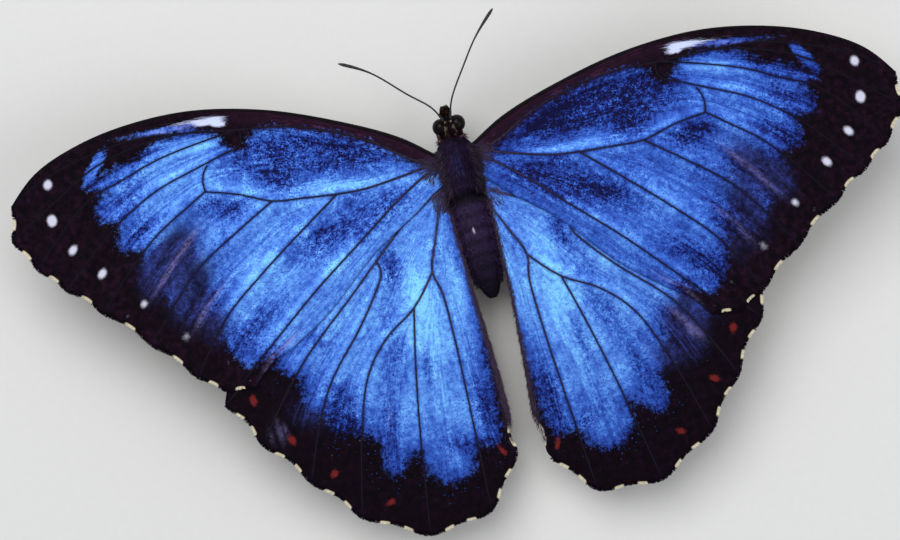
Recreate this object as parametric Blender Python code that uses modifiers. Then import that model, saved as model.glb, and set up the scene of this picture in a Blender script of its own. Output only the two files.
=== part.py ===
"""A blue morpho butterfly at life size, at rest with its wings spread nearly flat.

Lengths in the constants are millimetres, and the scene is in metres. +Z is up and the floor is at
Z = 0. The head looks towards -Y, so the animal's left is +X. The origin lies on the floor below
the middle of the bounding box.
"""

from math import cos, pi, radians, sin, sqrt

import bmesh
import bpy
import numpy as np
from mathutils import Matrix, Vector
from mathutils.geometry import delaunay_2d_cdt

MM = 0.001
LEFT, RIGHT = 1, -1
SIDE_NAMES = {LEFT: "left", RIGHT: "right"}

# The body's own frame has its zero between the forewing roots; this point of it lies over the origin.
FRAME_CENTRE = (0.66, 16.65)

# Trunk: half widths, half heights and stations along the body.
THORAX_X = 0.3
THORAX_Z = 9.1
THORAX_SPAN = (-3.85, 5.15)
THORAX_HALF_WIDTH = 2.85
THORAX_HALF_HEIGHT = 3.0
FLANK = 2.75
ABDOMEN_X = 0.5
ABDOMEN_SPAN = (5.25, 21.1)
ABDOMEN_RADIUS = 2.6
ABDOMEN_DROOP = 1.4
ABDOMEN_SEGMENTS = 8
JOINT_GAP = 0.1

# Head: the skull, the eyes cut into its cheeks, and the mouthparts in front of it.
HEAD_CENTRE = (0.15, -5.25, 9.4)
HEAD_HALF = (2.0, 1.65, 1.75)
CHEEK = 1.4
EYE_OFFSET = (1.25, -0.15, 0.1)
EYE_HALF = (1.25, 1.3, 1.4)
PALP_RADIUS = 0.36
PALP_PATH = [(0.46, -6.82, 8.45), (0.48, -7.35, 8.9), (0.42, -8.3, 9.7)]
PROBOSCIS_RADIUS = 0.26
PROBOSCIS_COIL = (0.42, 1.12)
PROBOSCIS_TURNS = 1.2

# Feelers: a thin shaft that swells into a slender club.
ANTENNA_SHAFT = 0.26
ANTENNA_CLUB = 0.38
CLUB_START = 0.72
ANTENNA_PATHS = {
    LEFT: [(0.8, -6.15, 11.05), (1.9, -8.4, 11.7), (4.9, -11.3, 12.7), (9.3, -15.7, 13.6), (13.4, -18.2, 13.9)],
    RIGHT: [(-0.35, -6.2, 11.05), (-1.2, -8.8, 11.8), (-4.4, -13.4, 13.1), (-7.0, -16.7, 13.9), (-10.5, -20.0, 14.2)],
}

# Wings: one shape of each pair, in the wing's own plane, with its zero at the root.
WING_THICKNESS = 0.52
WING_LIFT = 0.345
WING_LEVEL = 10.1
DIHEDRAL = 0.092
TIP_CURL = 0.8
REAR_DROOP = 1.5
WING_REACH = 62.0
REAR_REACH = 40.0
FACET = 5.4
EDGE_FACET = 2.3

# Forewing: x from the root to the tip, y towards the leading edge.
FORE_ROOTS = {LEFT: (3.24, -0.13), RIGHT: (-2.37, -0.52)}
FORE_SWEEPS = {LEFT: 8.5, RIGHT: -5.8}
FORE_COSTA = [(-1.6, 0.4), (0.0, 1.35), (5.1, 4.6), (13.6, 8.0), (24.0, 10.95), (34.5, 12.15), (43.5, 11.35),
              (51.5, 9.2), (58.3, 5.7), (62.4, 1.2)]
FORE_VEIN_ENDS = [(62.4, 1.2), (62.9, -4.0), (59.7, -8.7), (56.0, -12.1), (51.2, -16.0), (44.7, -21.5),
                  (38.6, -27.0), (34.7, -29.4), (30.5, -29.4)]
FORE_INNER = [(30.5, -29.4), (28.2, -26.6), (23.9, -23.8), (17.7, -19.0), (11.0, -12.0), (4.0, -6.6), (0.6, -3.7),
              (-1.6, -2.6)]
FORE_NOTCH = 0.6

# Hind wing: x outward, y rearward. The body holds in a strip of the right one's inner edge.
HIND_ROOTS = {LEFT: (3.42, 4.4), RIGHT: (-1.13, 5.59)}
HIND_TUCK = {LEFT: 0.0, RIGHT: 1.65}
HIND_FRONT = [(8.0, 0.6), (20.0, 5.5), (31.0, 12.0), (37.2, 17.3), (39.3, 21.4)]
HIND_VEIN_ENDS = [(39.3, 21.4), (35.6, 28.5), (30.2, 35.8), (24.3, 42.8), (15.3, 47.9), (5.7, 46.9), (-0.3, 39.7),
                  (-0.7, 33.5)]
HIND_NOTCH = 0.85
NOTCH_WIDTH = 6.0

# Legs: joints given for the animal's left, as offsets from the thorax's midline. The forelegs are
# reduced to brushes held under the breast, and the other four stand.
FEMUR, TIBIA, TARSUS = 0.46, 0.34, 0.27
SOLE = 0.22
LEGS = {
    "fore": [(1.05, -2.3, 6.42), (1.35, -2.9, 5.4), (1.75, -5.0, 4.9), (1.7, -3.3, 4.1)],
    "mid": [(1.75, 0.0, 6.55), (2.5, -0.2, 5.9), (8.0, -1.9, 7.9), (11.0, -3.4, 1.6), (12.1, -4.1, SOLE),
            (14.9, -5.6, SOLE)],
    "hind": [(1.6, 3.1, 6.6), (2.3, 3.7, 5.9), (7.2, 9.6, 7.6), (9.6, 17.2, 1.7), (10.1, 19.0, SOLE),
             (11.0, 22.4, SOLE)],
}


def material(name, colour, roughness, metallic=0.0):
    made = bpy.data.materials.new(name)
    made.use_nodes = True
    shader = made.node_tree.nodes["Principled BSDF"]
    shader.inputs["Base Color"].default_value = (*colour, 1.0)
    shader.inputs["Roughness"].default_value = roughness
    shader.inputs["Metallic"].default_value = metallic
    return made


def smooth_path(anchors, spacing):
    """Points about `spacing` apart on the smooth curve through the anchors, their arc lengths, and the anchors' own."""
    p = np.array(anchors, float)
    knots = np.concatenate([[0.0], np.cumsum(np.sqrt(np.linalg.norm(np.diff(p, axis=0), axis=1)))])
    width = np.diff(knots)[:, None]
    slope = np.diff(p, axis=0) / width
    tangent = np.empty_like(p)
    tangent[1:-1] = (slope[1:] * width[:-1] + slope[:-1] * width[1:]) / (width[1:] + width[:-1])
    tangent[0] = 1.5 * slope[0] - 0.5 * tangent[1]
    tangent[-1] = 1.5 * slope[-1] - 0.5 * tangent[-2]
    steps = 24
    u = np.arange(0, 1, 1 / steps)[:, None]
    pieces = []
    for i, h in enumerate(np.diff(knots)):
        start = (1 + 2 * u) * (1 - u) ** 2 * p[i] + u * (1 - u) ** 2 * h * tangent[i]
        end = u * u * (3 - 2 * u) * p[i + 1] - u * u * (1 - u) * h * tangent[i + 1]
        pieces.append(start + end)
    fine = np.concatenate(pieces + [p[-1:]])
    run = np.concatenate([[0.0], np.cumsum(np.linalg.norm(np.diff(fine, axis=0), axis=1))])
    length = np.linspace(0, run[-1], max(2, round(run[-1] / spacing) + 1))
    points = np.stack([np.interp(length, run, fine[:, k]) for k in range(p.shape[1])], axis=1)
    return points, length, run[::steps]


def scalloped(vein_ends, notch, turn, spacing):
    """The outer edge, which reaches each vein's end and is drawn in between neighbouring ones."""
    points, length, ends = smooth_path(vein_ends, spacing)
    along = np.gradient(points, axis=0)
    along /= np.linalg.norm(along, axis=1)[:, None]
    inward = turn * np.stack([along[:, 1], -along[:, 0]], axis=1)
    cell = np.clip(np.searchsorted(ends, length, side="right") - 1, 0, len(ends) - 2)
    room = ends[cell + 1] - ends[cell]
    depth = notch * np.clip(room / NOTCH_WIDTH, 0.3, 1) * np.sin(pi * (length - ends[cell]) / room) ** 2
    return points + inward * depth[:, None]


def forewing_outline(_side):
    costa = smooth_path(FORE_COSTA, EDGE_FACET)[0]
    edge = scalloped(FORE_VEIN_ENDS, FORE_NOTCH, 1, EDGE_FACET / 2)
    inner = smooth_path(FORE_INNER, EDGE_FACET)[0]
    return np.concatenate([costa[:-1], edge[:-1], inner])


def hindwing_outline(side):
    tuck = HIND_TUCK[side]
    front = smooth_path([(tuck - 0.2, -1.9), *HIND_FRONT], EDGE_FACET)[0]
    edge = scalloped(HIND_VEIN_ENDS, HIND_NOTCH, -1, EDGE_FACET / 2)
    inner_path = [HIND_VEIN_ENDS[-1], (0.5 * tuck - 0.7, 25.0), (0.75 * tuck - 0.25, 14.3), (tuck - 0.2, 0.6)]
    inner = smooth_path(inner_path, EDGE_FACET)[0]
    return np.concatenate([front[:-1], edge[:-1], inner])


def sheet_height(x, y):
    """Height of the surface that both pairs of wings follow, over a point of the body's frame."""
    out = abs(x - THORAX_X)
    rise = DIHEDRAL * (out - FLANK) + TIP_CURL * (out / WING_REACH) ** 2
    return WING_LEVEL + rise - REAR_DROOP * (max(0.0, y - 8.0) / REAR_REACH) ** 2


def collection(name):
    made = bpy.data.collections.new(name)
    bpy.context.scene.collection.children.link(made)
    return made


def add_node(name, mesh, surface, root, location=(0.0, 0.0, 0.0), rotation=(0.0, 0.0, 0.0)):
    made = bpy.data.objects.new(name, mesh)
    made.location = [v * MM for v in location]
    made.rotation_euler = rotation
    made.parent = root
    mesh.materials.clear()
    mesh.materials.append(surface)
    mesh.shade_smooth()
    mesh.set_sharp_from_angle(angle=radians(50))
    root.users_collection[0].objects.link(made)
    return made


def to_mesh(name, shape):
    bmesh.ops.recalc_face_normals(shape, faces=shape.faces)
    mesh = bpy.data.meshes.new(name)
    shape.to_mesh(mesh)
    shape.free()
    return mesh


def cut(shape, point, normal):
    """Takes off what lies on the normal's side of a plane, and closes the cut flat."""
    everything = shape.verts[:] + shape.edges[:] + shape.faces[:]
    found = bmesh.ops.bisect_plane(shape, geom=everything, dist=1e-8, plane_co=Vector(point) * MM,
                                   plane_no=normal, clear_outer=True)
    rim = [piece for piece in found["geom_cut"] if isinstance(piece, bmesh.types.BMEdge)]
    if rim:
        bmesh.ops.holes_fill(shape, edges=rim)


def egg(centre, half, segments, rings):
    shape = bmesh.new()
    place = Matrix.Translation(Vector(centre) * MM) @ Matrix.Diagonal(Vector((*half, 1.0)))
    bmesh.ops.create_uvsphere(shape, u_segments=segments, v_segments=rings, radius=MM,
                              matrix=place @ Matrix.Rotation(pi / 2, 4, "Y"))
    return shape


def loft(rings):
    """A closed solid through rings of equal counts, each a list of points in millimetres."""
    shape = bmesh.new()
    rows = [[shape.verts.new(Vector(p) * MM) for p in ring] for ring in rings]
    for near, far in zip(rows[:-1], rows[1:]):
        for i in range(len(near)):
            j = (i + 1) % len(near)
            shape.faces.new((near[i], near[j], far[j], far[i]))
    shape.faces.new(rows[0])
    shape.faces.new(rows[-1])
    return shape


def tube(path, radii, sides=8):
    """A solid tube along a path, each point with its own radius."""
    curve = bpy.data.curves.new("path", "CURVE")
    curve.dimensions = "3D"
    curve.bevel_depth = MM
    curve.bevel_resolution = sides // 2 - 2
    curve.use_fill_caps = True
    line = curve.splines.new("POLY")
    line.points.add(len(path) - 1)
    for point, place, radius in zip(line.points, path, radii):
        point.co = (*(Vector(place) * MM), 1.0)
        point.radius = radius
    guide = bpy.data.objects.new("path", curve)
    bpy.context.scene.collection.objects.link(guide)
    graph = bpy.context.evaluated_depsgraph_get()
    mesh = bpy.data.meshes.new_from_object(guide.evaluated_get(graph))
    bpy.data.objects.remove(guide)
    shape = bmesh.new()
    shape.from_mesh(mesh)
    bpy.data.meshes.remove(mesh)
    bmesh.ops.remove_doubles(shape, verts=shape.verts, dist=1e-7)
    return shape


def limb(joints, radii, spacing=1.0):
    """A tube through the joints, with its thickness read between theirs."""
    path, run, knots = [], [], [0.0]
    for a, b in zip(joints[:-1], joints[1:]):
        knots.append(knots[-1] + (Vector(b) - Vector(a)).length)
    for k, (a, b) in enumerate(zip(joints[:-1], joints[1:])):
        steps = max(1, round((knots[k + 1] - knots[k]) / spacing))
        for i in range(steps):
            path.append(Vector(a).lerp(Vector(b), i / steps))
            run.append(knots[k] + (knots[k + 1] - knots[k]) * i / steps)
    path.append(Vector(joints[-1]))
    run.append(knots[-1])
    return tube(path, np.interp(run, knots, radii))


def wing(name, outline, side, pair_lift, root_point, sweep, forward, surface, root):
    """A thin wing: its outline filled with facets, laid on the shared surface and thickened."""
    turn = -side * radians(sweep)
    flat = [(side * x, forward * y) for x, y in outline]
    inside = [Vector(p) for p in flat]
    box = np.array(flat)
    low, high = box.min(axis=0), box.max(axis=0)
    for i, x in enumerate(np.arange(low[0] + FACET / 2, high[0], FACET)):
        for y in np.arange(low[1] + FACET / 2 + (i % 2) * FACET / 2, high[1], FACET):
            if np.hypot(*(box - (x, y)).T).min() > 0.45 * FACET:
                inside.append(Vector((x, y)))
    rim = list(range(len(flat)))
    points, _, faces = delaunay_2d_cdt(inside, [], [rim], 1, 1e-6)[:3]
    shape = bmesh.new()
    level = sheet_height(*root_point)
    verts = []
    for x, y in points:
        at_x = root_point[0] + x * cos(turn) - y * sin(turn)
        at_y = root_point[1] + x * sin(turn) + y * cos(turn)
        verts.append(shape.verts.new(Vector((x, y, sheet_height(at_x, at_y) - level)) * MM))
    for face in faces:
        shape.faces.new([verts[i] for i in face])
    loose = [v for v in shape.verts if not v.link_faces]
    bmesh.ops.delete(shape, geom=loose, context="VERTS")
    if name.startswith("forewing"):
        flank = THORAX_X + side * (FLANK + JOINT_GAP) - root_point[0]
        edge = Vector((flank * cos(turn), -flank * sin(turn), 0.0))
        normal = Vector((-side * cos(turn), side * sin(turn), 0.0))
        everything = shape.verts[:] + shape.edges[:] + shape.faces[:]
        bmesh.ops.bisect_plane(shape, geom=everything, dist=1e-8, plane_co=edge * MM, plane_no=normal,
                               clear_outer=True)
    mesh = to_mesh(name, shape)
    made = add_node(name, mesh, surface, root, (*root_point, level + pair_lift), (0.0, 0.0, turn))
    shell = made.modifiers.new("thickness", "SOLIDIFY")
    shell.thickness = WING_THICKNESS * MM
    shell.offset = 0.0
    return made


def thorax_rings(sides=20, stations=11):
    """Barrel-shaped rings: blunt ends, flat flanks where the wings join."""
    front, back = THORAX_SPAN
    rings = []
    for k in range(stations):
        t = k / (stations - 1)
        y = front + (back - front) * (0.5 - 0.5 * cos(pi * t))
        swell = sqrt(max(0.0, 1 - (abs(2 * (y - front) / (back - front) - 1.06) * 0.86) ** 2.6))
        ring = []
        for i in range(sides):
            a = 2 * pi * i / sides
            x = THORAX_HALF_WIDTH * swell * cos(a)
            z = THORAX_HALF_HEIGHT * (0.25 + 0.75 * swell) * sin(a)
            ring.append((THORAX_X + max(-FLANK, min(FLANK, x)), y, THORAX_Z + z))
        rings.append(ring)
    return rings


def abdomen_rings(sides=16, per_segment=3):
    """Segments that each swell a little, tapering to a blunt end."""
    front, back = ABDOMEN_SPAN
    stations = ABDOMEN_SEGMENTS * per_segment
    rings = []
    for k in range(stations + 1):
        t = k / stations
        y = front + (back - front) * t
        body = (1 - 0.07 * (1 - t) ** 8) * sqrt(max(0.03, 1 - (max(0.0, t - 0.30) / 0.70) ** 2.5))
        radius = ABDOMEN_RADIUS * body * (1 + 0.025 * sin(pi * (t * ABDOMEN_SEGMENTS % 1)))
        z = THORAX_Z - 0.35 - ABDOMEN_DROOP * t ** 1.5
        rings.append([(ABDOMEN_X + radius * cos(2 * pi * i / sides), y, z + 0.98 * radius * sin(2 * pi * i / sides))
                      for i in range(sides)])
    return rings


def main():
    for old in list(bpy.data.objects):
        bpy.data.objects.remove(old)

    insect = collection("blue_morpho")
    root = bpy.data.objects.new("morpho_root", None)
    root.location = (-FRAME_CENTRE[0] * MM, -FRAME_CENTRE[1] * MM, 0.0)
    insect.objects.link(root)

    body_brown = material("body_brown", (0.030, 0.020, 0.026), 0.75)
    head_brown = material("head_brown", (0.035, 0.020, 0.018), 0.75)
    eye_black = material("eye_black", (0.012, 0.008, 0.008), 0.15)
    leg_brown = material("leg_brown", (0.050, 0.030, 0.022), 0.55)
    horn_black = material("horn_black", (0.012, 0.010, 0.010), 0.45)
    palp_brown = material("palp_brown", (0.060, 0.030, 0.022), 0.8)
    wing_blue = material("wing_blue", (0.030, 0.130, 0.700), 0.38, 0.35)

    add_node("thorax", to_mesh("thorax", loft(thorax_rings())), body_brown, root)
    add_node("abdomen", to_mesh("abdomen", loft(abdomen_rings())), body_brown, root)

    head = egg(HEAD_CENTRE, HEAD_HALF, 18, 12)
    cut(head, (0.0, THORAX_SPAN[0] - JOINT_GAP, 0.0), (0.0, 1.0, 0.0))
    for side in (LEFT, RIGHT):
        cut(head, (HEAD_CENTRE[0] + side * CHEEK, 0.0, 0.0), (side, 0.0, 0.0))
    add_node("head", to_mesh("head", head), head_brown, root)

    for side in (LEFT, RIGHT):
        which = SIDE_NAMES[side]
        eye_at = np.array(HEAD_CENTRE) + np.array(EYE_OFFSET) * (side, 1, 1)
        eye = egg(eye_at, EYE_HALF, 14, 10)
        cut(eye, (HEAD_CENTRE[0] + side * (CHEEK + JOINT_GAP / 2), 0.0, 0.0), (-side, 0.0, 0.0))
        add_node("eye_" + which, to_mesh("eye_" + which, eye), eye_black, root)

        middle = HEAD_CENTRE[0]
        palp_path = [(middle + side * x, y, z) for x, y, z in PALP_PATH]
        palp = limb(palp_path, [PALP_RADIUS, PALP_RADIUS, 0.26], 0.6)
        add_node("palp_" + which, to_mesh("palp_" + which, palp), palp_brown, root)

        path, run, knots = smooth_path(ANTENNA_PATHS[side], 0.9)
        club = np.clip((run / run[-1] - CLUB_START) / (0.88 - CLUB_START), 0, 1) ** 1.5
        feeler = tube(path, ANTENNA_SHAFT + (ANTENNA_CLUB - ANTENNA_SHAFT) * club, 6)
        add_node("antenna_" + which, to_mesh("antenna_" + which, feeler), horn_black, root)

        for pair, joints in LEGS.items():
            joints = [(THORAX_X + side * x, y, z) for x, y, z in joints]
            radii = [FEMUR, FEMUR, FEMUR * 0.8, TIBIA * 0.85, TARSUS, TARSUS]
            if pair == "fore":
                radii = [TIBIA, TIBIA, TIBIA, TARSUS]
            leg = limb(joints, radii, 1.6)
            cut(leg, (0.0, 0.0, 0.0), (0.0, 0.0, -1.0))
            add_node(f"leg_{pair}_{which}", to_mesh(f"leg_{pair}_{which}", leg), leg_brown, root)

        wing("forewing_" + which, forewing_outline(side), side, WING_LIFT, FORE_ROOTS[side], FORE_SWEEPS[side],
             -1, wing_blue, root)
        wing("hindwing_" + which, hindwing_outline(side), side, -WING_LIFT, HIND_ROOTS[side], 0.0, 1, wing_blue, root)

    centre = Vector((HEAD_CENTRE[0], HEAD_CENTRE[1] - 0.4, HEAD_CENTRE[2] - 3.15))
    inner, outer = PROBOSCIS_COIL
    coil = []
    steps = 22
    for k in range(steps + 1):
        t = k / steps
        turn = 2 * pi * PROBOSCIS_TURNS * t + pi / 2
        reach = outer + (inner - outer) * t
        coil.append(centre + Vector((0.0, reach * cos(turn), reach * sin(turn))))
    add_node("proboscis", to_mesh("proboscis", tube(coil, [PROBOSCIS_RADIUS] * len(coil))), leg_brown, root)


main()
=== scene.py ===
"""Dresses the blue morpho's frame: patterned wings, hairy body, jointed legs and the stage.

Lengths in the constants are millimetres, in the body's own frame (zero between the forewing roots,
head towards -Y) or in a wing's own plane (zero at its root), and so are the shapes until they become
pieces. Meshes are in metres.
"""

from math import cos, pi, radians, sin, sqrt, tau

import bpy
import numpy as np
from bpy.props import FloatProperty, FloatVectorProperty, IntProperty, PointerProperty
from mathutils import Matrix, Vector
from mathutils.geometry import delaunay_2d_cdt


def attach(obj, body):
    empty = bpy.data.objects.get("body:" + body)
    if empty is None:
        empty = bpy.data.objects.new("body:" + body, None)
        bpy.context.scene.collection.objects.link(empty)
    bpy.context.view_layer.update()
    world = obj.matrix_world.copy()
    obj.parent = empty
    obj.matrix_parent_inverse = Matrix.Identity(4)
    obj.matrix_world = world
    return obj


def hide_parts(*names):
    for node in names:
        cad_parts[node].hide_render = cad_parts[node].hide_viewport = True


bl_info = {
    "name": "Blue Morpho",
    "version": (1, 0, 0),
    "blender": (4, 5, 0),
    "location": "View3D > Sidebar > Morpho",
    "description": "Builds a life-size blue morpho butterfly at rest",
    "category": "Add Mesh",
}

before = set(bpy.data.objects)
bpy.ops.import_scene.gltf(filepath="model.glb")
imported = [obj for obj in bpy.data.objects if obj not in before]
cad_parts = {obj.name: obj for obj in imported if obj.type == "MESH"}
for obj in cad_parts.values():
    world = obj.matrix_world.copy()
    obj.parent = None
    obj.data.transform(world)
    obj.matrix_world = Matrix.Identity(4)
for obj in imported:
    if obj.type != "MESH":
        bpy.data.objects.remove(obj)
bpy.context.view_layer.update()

MM = 0.001
LEFT, RIGHT = 1, -1
UP = (0.0, 0.0, 1.0)
SIDE_NAMES = {LEFT: "left", RIGHT: "right"}
FRAME_CENTRE = (0.66, 16.65)
# Points of a smooth curve between two anchors, and a depth that stands for far outside a mark.
CURVE_STEPS = 24
OUTSIDE = -9.0

# Trunk.
THORAX_X, THORAX_Z = 0.3, 9.1
THORAX_SPAN = (-3.85, 5.15)
THORAX_HALF = (2.85, 3.0)
FLANK = 2.75
ABDOMEN_X = 0.5
ABDOMEN_SPAN = (5.25, 21.1)
ABDOMEN_RADIUS = 2.6
ABDOMEN_DROOP = 1.4
ABDOMEN_SEGMENTS = 8
# Half width, half height, middle X and middle Z of the necks before and behind the thorax.
NECK = (2.4, 2.4, 0.22, 9.25)
WAIST = (2.9, 2.7, 0.45, 8.9)
HEAD_CENTRE = (0.15, -5.25, 9.4)
HEAD_HALF = (1.55, 1.65, 1.75)
EYE_OFFSET = (1.25, -0.15, 0.1)
EYE_HALF = (1.25, 1.3, 1.4)
CROWN_FLECKS = [(0.42, -5.9), (0.5, -5.0), (0.36, -4.3)]
# Where the skin starts and ends along the body, and its rings and the points of a ring.
STATIONS = (-6.86, 21.0)
SKIN_GRID = (330, 72)

# The surface that both pairs of wings follow.
WING_LEVEL = 10.1
DIHEDRAL = 0.092
TIP_CURL = 0.8
REAR_DROOP = 1.5
WING_REACH = 62.0
WING_LIFTS = {"fore": 0.26, "hind": -0.24}
# What keeps the speckles of the right wings, and of the hind ones, apart from the others'.
RIGHT_SHIFT, HIND_SHIFT = 40.0, 90.0
VEIN_SIDES = 6
REAR_REACH = 40.0

# Forewing plane: x from the root to the tip, y towards the leading edge.
FORE_ROOTS = {LEFT: (3.24, -0.13), RIGHT: (-2.37, -0.52)}
FORE_SWEEPS = {LEFT: 8.5, RIGHT: -5.8}
FORE_COSTA = [
    (-1.6, 0.4), (0.0, 1.35), (5.1, 4.6), (13.6, 8.0), (24.0, 10.95), (34.5, 12.15), (43.5, 11.35),
    (51.5, 9.2), (58.3, 5.7), (62.4, 1.2),
]
FORE_VEIN_ENDS = [
    (62.4, 1.2), (62.9, -4.0), (59.7, -8.7), (56.0, -12.1), (51.2, -16.0), (44.7, -21.5), (38.6, -27.0),
    (34.7, -29.4), (30.5, -29.4),
]
FORE_INNER = [
    (30.5, -29.4), (28.2, -26.6), (23.9, -23.8), (17.7, -19.0), (11.0, -12.0), (4.0, -6.6), (0.6, -3.7),
    (-1.6, -2.6),
]
FORE_NOTCH = 0.6
# Each vein from the root outwards, in order from the leading edge to the inner one.
FORE_VEINS = [
    [(-1, 0.3), (3.1, 1.0), (10, 4.9), (20, 8.0), (30.1, 8.6), (43.2, 8.9), (52, 6.8), (58, 4.2),
     (62.4, 1.2)],
    [(30.1, 8.6), (37, 8.9), (43.2, 7.9), (50, 5.4), (56, 1.2), (62.9, -4.0)],
    [(29, 8.5), (31.5, 8.0), (40.5, 5.6), (46.7, 2.9), (50.4, 1.4), (55.6, -3.4), (59.7, -8.7)],
    [(28.3, 8.4), (28.5, 6.4), (31.7, 5.0), (36, 3.3), (41, 1.2), (47.1, -2.9), (52.3, -8.0),
     (56.0, -12.1)],
    [(34.3, 0.1), (37.9, -2.4), (41.5, -5.0), (45.5, -9.0), (51.2, -16.0)],
    [(24.7, -2.4), (30, -6.0), (36.9, -11.3), (42.7, -18.6), (44.7, -21.5)],
    [(15.2, -2.5), (21.3, -7.5), (27.9, -13.2), (33.3, -18.5), (38.6, -27.0)],
    [(-1, -0.2), (0.8, -0.6), (6.1, -4.2), (12.7, -9.9), (19.4, -15.7), (24.9, -21.0), (32.6, -28.6)],
]
FORE_CROSS = [
    [(-1, 0), (0.7, 0.1), (5.8, -1.1), (11.8, -2.3), (20.7, -2.5), (24.7, -2.4), (29.4, -0.9), (34.3, 0.1)],
    [(33.6, 3.9), (34.4, 2.2), (34.3, 0.1)],
]
# Stems that carry the outer veins' lanes back to the root: the vein they lead to, and their way.
FORE_STEMS = {
    1: [(-1, 0.2), (10, 4.4), (20, 7.3)],
    2: [(-1, 0.1), (10, 3.6), (20, 6.2)],
    3: [(-1, 0.0), (10, 2.6), (20, 5.0)],
    4: [(-1, 0.0), (10, 0.6), (20, 0.6), (28, 0.6)],
    5: [(-1, 0.0), (5.8, -1.1), (11.8, -2.2), (20.7, -2.4)],
    6: [(-1, 0.0), (5.8, -1.2), (11.8, -2.4)],
}
FORE_BLUE = [
    (-2, 0.1), (3.1, 0.2), (5.4, 1.6), (10, 4.4), (13.8, 6.0), (19.5, 7.5), (26.0, 8.0), (27.3, 6.2),
    (28.6, 5.2), (30.6, 6.2), (32.2, 8.2), (37, 8.9), (41.5, 7.4), (43.6, 5.8), (46.3, 5.2), (48.1, 4.3),
    (49.8, 3.8), (51.3, 3.0), (50.2, 2.1), (48.2, 1.8), (49.8, 0.5), (50.3, -1.0), (49.6, -2.4),
    (46.9, -2.7), (47.2, -4.4), (47.3, -6.8), (43.8, -7.4), (44.2, -9.6), (43.6, -12.2), (41.4, -14.6),
    (38.4, -18.0), (34.4, -19.4), (33.6, -22.6), (31.0, -25.9), (28.0, -25.0), (24, -26), (10, -15),
    (-2, -6),
]

# Hind wing plane: x outward, y rearward. The body holds in a strip of the right one's inner edge.
HIND_ROOTS = {LEFT: (3.42, 4.4), RIGHT: (-1.13, 5.59)}
HIND_TUCK = {LEFT: 0.0, RIGHT: 1.65}
HIND_FRONT = [(8.0, 0.6), (20.0, 5.5), (31.0, 12.0), (37.2, 17.3), (39.3, 21.4)]
HIND_VEIN_ENDS = [
    (39.3, 21.4), (35.6, 28.5), (30.2, 35.8), (24.3, 42.8), (15.3, 47.9), (5.7, 46.9), (-0.3, 39.7),
    (-0.7, 33.5),
]
HIND_NOTCH = 0.85
NOTCH_WIDTH = 6.0
HIND_VEINS = [
    [(-0.3, -1.2), (2.3, 0.0), (7.1, 2.6), (16, 6.4), (27, 12.4), (35, 18.2), (39.3, 21.4)],
    [(7.1, 2.6), (12.3, 6.7), (16.7, 10.3), (26.7, 18.4), (35.6, 28.5)],
    [(12.3, 6.7), (12.1, 8.6), (13.7, 11.2), (17.2, 15.5), (24, 23), (30.2, 35.8)],
    [(4.8, 10.4), (8.8, 14.8), (13.8, 18), (17.7, 22.3), (20.9, 30.1), (24.3, 42.8)],
    [(8.8, 14.8), (10.6, 22.2), (12.7, 32.3), (15.3, 47.9)],
    [(-0.2, -0.8), (1, 0.9), (1.8, 2.8), (3.3, 6.4), (4.8, 10.4), (4.2, 13.6), (4.2, 20), (4.9, 34),
     (5.7, 46.9)],
    [(0.4, 1.0), (1.0, 6.0), (1.0, 14.0), (0.9, 25.0), (0.6, 33.0), (-0.3, 39.7)],
]
HIND_STEMS = {
    1: [(-0.3, -1.2), (2.3, 0.0)],
    2: [(1, 0.5), (6, 3.4)],
    3: [(0.5, 0.9), (1.8, 2.8), (3.3, 6.4)],
    4: [(0.5, 0.9), (1.8, 2.8), (4.8, 10.4)],
}
HIND_BLUE = [
    (-0.9, -3), (14, 2), (26, 8.6), (30.4, 13.4), (29.7, 18.8), (27.6, 20.1), (27.9, 24.7), (25.2, 26.6),
    (24.4, 29.5), (21.3, 30.4), (18.9, 32.4), (19, 36.3), (17.9, 37.8), (15, 35.8), (13.5, 35.4),
    (13.0, 38.6), (10.8, 40.9), (8.4, 40.9), (6.6, 39.8), (5.6, 37.4), (4.3, 36.6), (2.6, 37.4),
    (1.4, 35.6), (0.9, 30), (0.4, 24), (-0.2, 18), (-0.7, 10), (-0.9, 2),
]

# Markings as (x, y, half width, half height), tilt in degrees, strength.
FORE_WHITES = [
    (56.8, 3.8, 0.8, 0.98, 20, 1.0), (56.8, -1.5, 0.9, 1.12, 0, 1.0), (54.3, -6.1, 0.72, 1.1, 40, 1.0),
    (50.5, -10.0, 0.72, 1.1, 40, 1.0), (45.0, -15.1, 0.65, 0.85, 40, 0.8), (47.6, -16.6, 0.3, 0.4, 0, 0.45),
    (39.5, -20.6, 0.7, 0.9, 30, 0.38), (34.0, -25.1, 0.3, 0.3, 0, 0.4), (31.0, -28.1, 0.25, 0.25, 0, 0.5),
]
HIND_WHITES = [
    (28.7, 30.0, 0.2, 0.2, 0, 0.5), (26.1, 32.4, 0.22, 0.22, 0, 0.8), (21.6, 31.5, 0.2, 0.2, 0, 0.6),
    (20.6, 34.3, 0.22, 0.22, 0, 0.6), (22.9, 27.8, 0.2, 0.2, 0, 0.4), (17.6, 40.2, 0.2, 0.2, 0, 0.4),
]
HIND_RUSTS = [
    (35.0, 21.6, 0.6, 0.9, 0, 1.0), (31.1, 28.8, 0.6, 0.9, 10, 0.9), (26.5, 35.2, 0.85, 0.55, 35, 1.0),
    (19.7, 41.5, 0.9, 0.45, 25, 1.0), (1.8, 38.5, 0.4, 1.2, 25, 0.9),
]
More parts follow.
